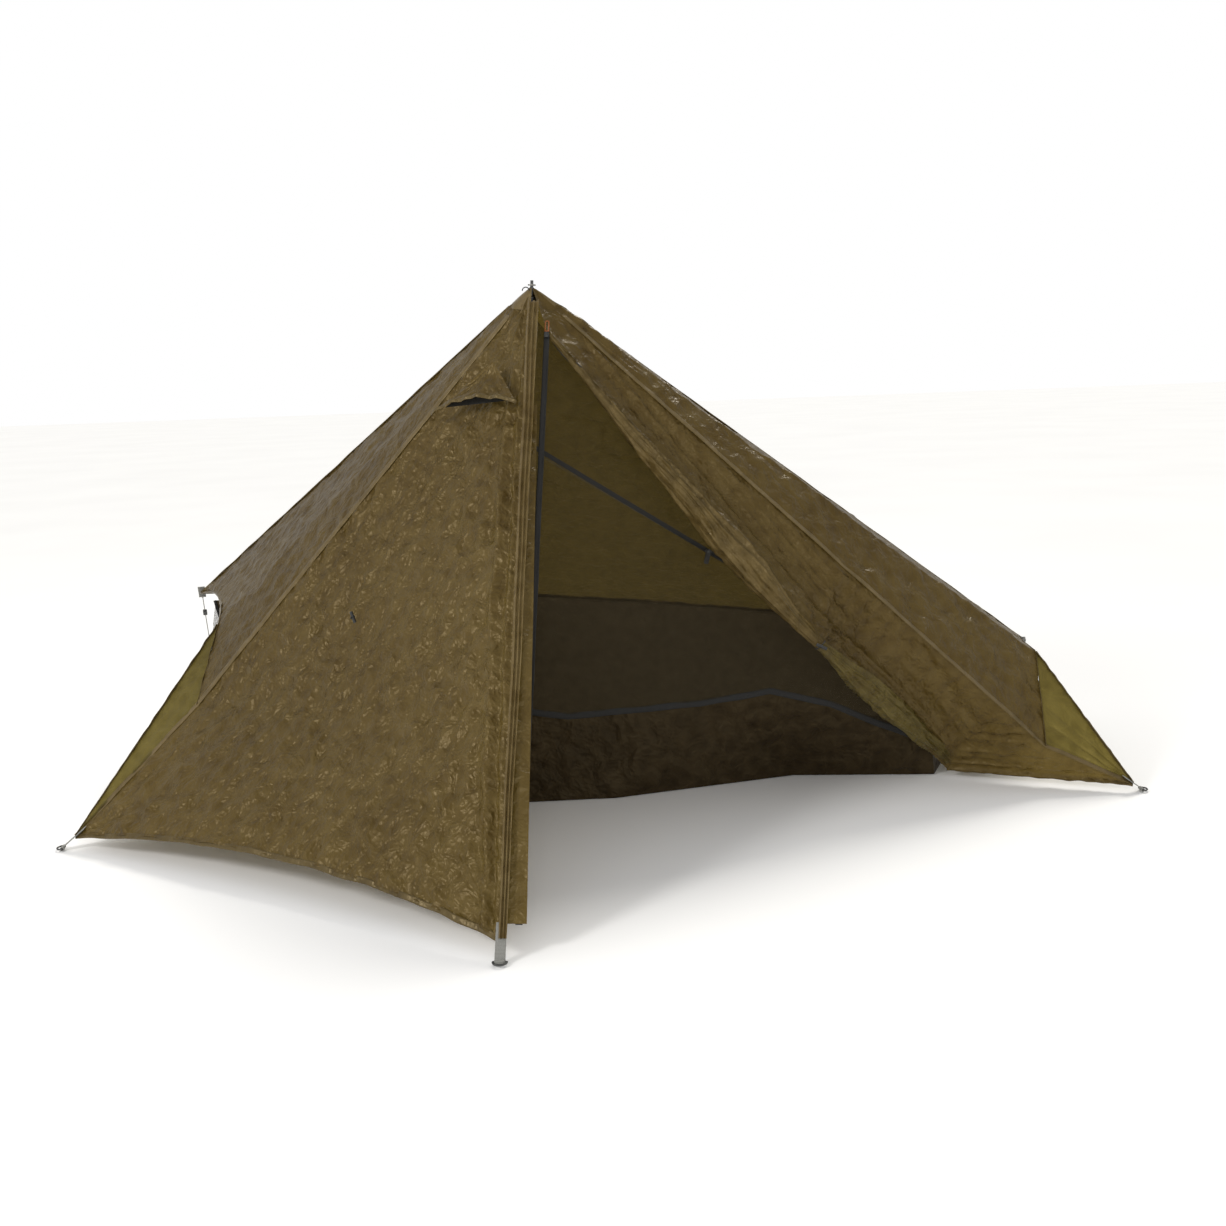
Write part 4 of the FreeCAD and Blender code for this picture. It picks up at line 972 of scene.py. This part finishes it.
# ------------------------------------------------------------------ vent hood and peak patch
# A stiffened hood of canopy cloth over a net vent high in the closed half; its lower edge stands
# open.  The patch spreads the load of the pole's tip and is sewn round twice.
vent_left = corner("vent_hood", -1, 0, -0.5)
vent_right = corner("vent_hood", 1, -0.3, -0.5)
vent_top = corner("vent_hood", 0.1, 0.2, 1)
vent_out = (vent_right - vent_left).cross(vent_top - vent_left).normalized()
if vent_out.y > 0:
    vent_out = -vent_out


HOOD_BOW, HOOD_FRILL, HOOD_MOUTH = 0.014, 0.010, 0.020


def hood_shape(u, v):
    """The hood's lower edge bows outwards and is crumpled; its sides are sewn down."""
    base = vent_left.lerp(vent_right, u)
    place = vent_top.lerp(base, v)
    bow = HOOD_BOW * math.sin(math.pi * u) * v ** 2
    frill = HOOD_FRILL * noise.noise(Vector((u * 9, v * 3, 4))) * v
    mouth = HOOD_MOUTH * math.sin(math.pi * u) ** 0.7 * v ** 3
    return place + vent_out * (bow + frill) + Vector((0, 0, mouth))


sew(*cloth("hood", hood_shape, 60, 50, vent_out, None, 0.5, 1.0, 11.0, hold=0.01,
           open_edges=("bottom",)), ["vent_hood"], "canopy_fabric", canopy_nylon)
hood_lip = strip("hood_lip", lambda t: hood_shape(t, 1.0), 0.009, lambda t: vent_out, 70, binding, 0.0014,
                 0.003, 7.0)
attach(hood_lip, "canopy")
vent_dark = plain_shader("vent_net", (0.004, 0.004, 0.003), (0.012, 0.011, 0.009), 900, 0.8, 0.0, 0.4,
                         "Voronoi")
net, net_size, net_area = skin("vent_netting", "vent_mesh", vent_out, 0.010, 0.1, 12.0)
sew(net, net_size, net_area, ["vent_mesh"], "mesh", vent_dark)

patch, patch_size, patch_area = skin("patch", "peak_patch", (0, -0.2, 1), 0.006, 0.10, 13.0, 0.01, 0.05)
sew(patch, patch_size, patch_area, ["peak_patch"], "canopy_fabric", ridge_nylon)

# ------------------------------------------------------------------ inner wall of insect mesh
# Black no-see-um net, sewn in under the ridges; its left half is fixed and its right half is a door.
net_cloth, tree, shader, where = start_material("insect_net")
shader.inputs["Base Color"].default_value = (0.046, 0.036, 0.020, 1)
shader.inputs["Roughness"].default_value = 0.9
shader.inputs["Specular IOR Level"].default_value = 0.15
across_threads = texture(tree, "Wave", where.outputs["UV"], Scale=210.0)
down_threads = texture(tree, "Wave", where.outputs["UV"], Scale=210.0, bands_direction="Y")
threads = maths(tree, "MAXIMUM", across_threads.outputs["Fac"], down_threads.outputs["Fac"])
hole = ramp(tree, threads, (0.62, (1, 1, 1)), (0.86, (0, 0, 0)))
clear = tree.nodes.new("ShaderNodeBsdfTransparent")
net_mix = tree.nodes.new("ShaderNodeMixShader")
tree.links.new(hole, net_mix.inputs["Fac"])
tree.links.new(shader.outputs["BSDF"], net_mix.inputs[1])
tree.links.new(clear.outputs["BSDF"], net_mix.inputs[2])
tree.links.new(net_mix.outputs["Shader"], tree.nodes["Material Output"].inputs["Surface"])

NET_STEP = 0.030
for name, node, outward, seed in (("net_left", "mesh_wall_left", (-0.1, -1, 0.1), 21.0),
                                  ("net_top", "mesh_top_panel", (0.2, -1, 0.3), 22.0),
                                  ("net_door", "mesh_door", (0.1, -1, 0.2), 23.0)):
    piece, size, area = skin(name, node, outward, NET_STEP, 0.7, seed, 0.05)
    sew(piece, size, area, [node], "mesh", net_cloth)


def two_sided(name, node, outward, step, crease, seed, slot, material):
    """Both ends' parts of one CAD node, each a sheet of its own."""
    for end, label in ((-1, "_left"), (1, "_right")):
        way = Vector(outward)
        way.x *= end
        piece, size, area = skin(name + label, node, way, step, crease, seed + end, 0.03, 0.15, end)
        sew(piece, size, area, [node], slot, material)


two_sided("gusset", "mesh_end_gussets", (1, -0.2, 0.1), NET_STEP, 0.5, 24.0, "mesh", net_cloth)

# ------------------------------------------------------------------ tub floor
# Thicker dark cloth, sewn up at the edges into a tub: one flat sheet and four low walls.
tub_cloth = nylon("tub_cloth", (0.016, 0.010, 0.005), (0.026, 0.017, 0.008), (0.045, 0.031, 0.015),
                  (0.10, 0.075, 0.040), 0.22, crease=1.0, rough=0.45, shine=0.3)
for name, node, outward, seed, crease in (
        ("ground_sheet", "floor_sheet", (0, 0, 1), 31.0, 0.25),
        ("tub_front", "tub_wall_front", (0.1, -1, 0.2), 32.0, 0.9),
        ("tub_rear", "tub_wall_rear", (0, -1, 0.0), 33.0, 0.9)):
    piece, size, area = skin(name, node, outward, 0.016, crease, seed, 0.03)
    for vertex in piece.data.vertices:
        vertex.co.z = max(vertex.co.z, 0.0)
    sew(piece, size, area, [node], "floor_fabric", tub_cloth)
two_sided("tub_end", "tub_end_walls", (1, 0, 0), 0.02, 0.7, 34.0, "floor_fabric", tub_cloth)

# ------------------------------------------------------------------ inner zips
# Slimmer coil zips in the mesh wall: one slanting down to the right across the top, one down from
# its lower left end, one along the top of the tub's front wall.
INNER_ZIP_WIDTH = 0.011
for name, node in (("slant_zip", "inner_zip_diagonal"), ("upright_zip", "inner_zip_upright"),
                   ("low_zip", "inner_zip_sill")):
    piece, size, area = skin(name, node, (0.1, -1, 0.2), 0.012, 0.12, 41.0, 0.004)
    for vertex in piece.data.vertices:
        vertex.co.y -= 0.0012
    area = sum(face.area for face in piece.data.polygons)
    sew(piece, (area / INNER_ZIP_WIDTH, INNER_ZIP_WIDTH), area, [node], "zip_tape", zip_black)


def row_of(node, pick):
    """The places along a long CAD piece from left to right: pick chooses one for each x."""
    at_x = {}
    for v in nodes[node].data.vertices:
        at_x.setdefault(round(v.co.x * 100), []).append(v.co)
    return [pick(at_x[x]) for x in sorted(at_x)]


def centre_of(spots):
    return sum(spots, Vector()) / len(spots)


low_row = row_of("inner_zip_sill", centre_of)
rear_row = row_of("tub_wall_rear", lambda spots: max(spots, key=lambda p: p.z).copy())
for name, row, width, ahead in (("low_zip_tape", low_row, 0.017, 0.0004),
                                ("rear_seam", rear_row, 0.009, 0.004)):
    path = polyline(*row)
    tape = strip(name, lambda t, path=path, ahead=ahead: path(t) - Vector((0, ahead, 0)), width,
                 lambda t: Vector((0, -1, 0.1)), 140, zip_black, 0.0010, 0.002, 4.0)
    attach(tape, "canopy")
slant_top = corner("inner_zip_diagonal", -1, 0, 0.4)
slant_end = corner("inner_zip_diagonal", 1, 0, -0.4)
slant_down = Vector((0, -0.003, -0.0055))
repeat_along("slant_coil", [lambda t: slant_top.lerp(slant_end, 0.01 + 0.98 * t) + slant_down], coil,
             0.0024, 0.0010)

# ------------------------------------------------------------------ webbing, cords and small sewn parts
# Grey woven webbing at the corners, folded round each D ring and sewn with a box of stitches.


def soften(name, node, step, amount, material, body="canopy", seed=50.0):
    """A copy of a small CAD part, cut finer and made slightly uneven, as cloth or cord is."""
    work = bmesh.new()
    work.from_mesh(nodes[node].data)
    bmesh.ops.remove_doubles(work, verts=work.verts, dist=0.00002)
    bmesh.ops.triangulate(work, faces=work.faces)
    cut_finer(work, step, 4)
    bmesh.ops.recalc_face_normals(work, faces=work.faces)
    work.normal_update()
    for v in work.verts:
        wander = noise.noise(v.co * 160 + Vector((seed, 0, 0)))
        v.co += v.normal * amount * wander
    for f in work.faces:
        f.smooth = True
    mesh = bpy.data.meshes.new(name)
    work.to_mesh(mesh)
    work.free()
    mesh.materials.append(material)
    piece = bpy.data.objects.new(name, mesh)
    scene.collection.objects.link(piece)
    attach(piece, body)
    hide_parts(node)
    return piece


webbing, tree, shader, where = start_material("grey_webbing")
ribs = texture(tree, "Wave", where.outputs["Object"], Scale=420.0, Distortion=0.6,
               bands_direction="DIAGONAL")
cross_ribs = texture(tree, "Wave", where.outputs["Object"], Scale=160.0, Distortion=0.4,
                     bands_direction="Z")
weave = maths(tree, "MULTIPLY", ribs.outputs["Fac"], cross_ribs.outputs["Fac"])
tree.links.new(ramp(tree, weave, (0.1, (0.22, 0.22, 0.20)), (0.7, (0.46, 0.45, 0.42))),
               shader.inputs["Base Color"])
shader.inputs["Roughness"].default_value = 0.8
bump(tree, shader, weave, 0.8, 0.0008)
dark_cord = braid("dark_cord", (0.012, 0.012, 0.011), (0.05, 0.048, 0.044))
orange_cord = braid("orange_cord", (0.25, 0.07, 0.015), (0.50, 0.16, 0.04))
tag_cloth = plain_shader("tag_cloth", (0.020, 0.018, 0.016), (0.045, 0.042, 0.038), 420, 0.7, 0.0, 0.6,
                         "Voronoi")
for name, node, step, amount, material, slot, body in (
        ("front_webbing", "strap_front", 0.006, 0.0005, webbing, "webbing", "canopy"),
        ("left_webbing", "strap_left", 0.006, 0.0005, webbing, "webbing", "canopy"),
        ("right_webbing", "strap_right", 0.006, 0.0005, webbing, "webbing", "canopy"),
        ("rear_webbing", "rear_straps", 0.006, 0.0005, webbing, "webbing", "canopy"),
        ("ridge_ribbon", "ridge_loops", 0.004, 0.0004, binding, "canopy_fabric", "canopy"),
        ("peak_cord", "peak_loop", 0.002, 0.0002, dark_cord, "line_cord", "canopy"),
        ("roll_cord", "roll_tie_cord", 0.003, 0.0002, dark_cord, "line_cord", "canopy"),
        ("toggle_cord", "toggle_cords", 0.002, 0.0002, dark_cord, "line_cord", "canopy"),
        ("line_knots", "guy_knots", 0.002, 0.0004, line_cord, "line_cord", "canopy"),
        ("ground_loops", "peg_loops", 0.003, 0.0002, line_cord, "line_cord", "canopy"),
        ("slider_cord", "outer_pull", 0.002, 0.0002, orange_cord, "pull_cord", "outer_pull"),
        ("slider_tag", "inner_tag", 0.003, 0.0003, tag_cloth, "soft_tag", "inner_tag")):
    soften(name, node, step, amount, material, body)

# ------------------------------------------------------------------ pole, clamps, rings and sliders
# Anodised aluminium tubes, moulded clamps and toggles, and black plated rings and sliders.
anodised, tree, shader, where = start_material("anodised_tube")
drawn = texture(tree, "Noise", where.outputs["Object"], Scale=26.0, Detail=4.0)
tree.links.new(ramp(tree, drawn.outputs["Fac"], (0.3, (0.030, 0.031, 0.034)), (0.8, (0.055, 0.056, 0.060))),
               shader.inputs["Base Color"])
shader.inputs["Metallic"].default_value = 0.9
scuffs = texture(tree, "Noise", where.outputs["Object"], Scale=210.0, Detail=5.0)
tree.links.new(ramp(tree, scuffs.outputs["Fac"], (0.35, (0.26, 0.26, 0.26)), (0.8, (0.50, 0.50, 0.50))),
               shader.inputs["Roughness"])
bump(tree, shader, scuffs.outputs["Fac"], 0.05, 0.0004)
moulded = plain_shader("moulded_black", (0.012, 0.012, 0.012), (0.024, 0.024, 0.023), 260, 0.45, 0.0, 0.15)
rubber = plain_shader("foot_rubber", (0.014, 0.014, 0.014), (0.030, 0.029, 0.028), 380, 0.85, 0.0, 0.4)
plated = plain_shader("plated_ring", (0.05, 0.05, 0.05), (0.11, 0.11, 0.105), 320, 0.34, 0.85, 0.12)
grommet_metal = plain_shader("grommet_metal", (0.20, 0.19, 0.17), (0.34, 0.33, 0.30), 300, 0.32, 1.0, 0.12)
HARDWARE = {
    anodised: ["pole_lower_tube", "pole_middle_tube", "pole_upper_tube"],
    moulded: ["middle_clamp_collar", "upper_clamp_collar", "middle_clamp_lever", "upper_clamp_lever",
              "toggle_left", "toggle_right", "tensioner_left", "tensioner_right"],
    rubber: ["pole_foot"],
    plated: ["ring_front", "ring_left", "ring_right", "outer_slider", "inner_slider",
             "pole_tip"],
    grommet_metal: ["peak_grommet"],
}
for material, names in HARDWARE.items():
    for name in names:
        for place in nodes[name].material_slots:
            place.material = material
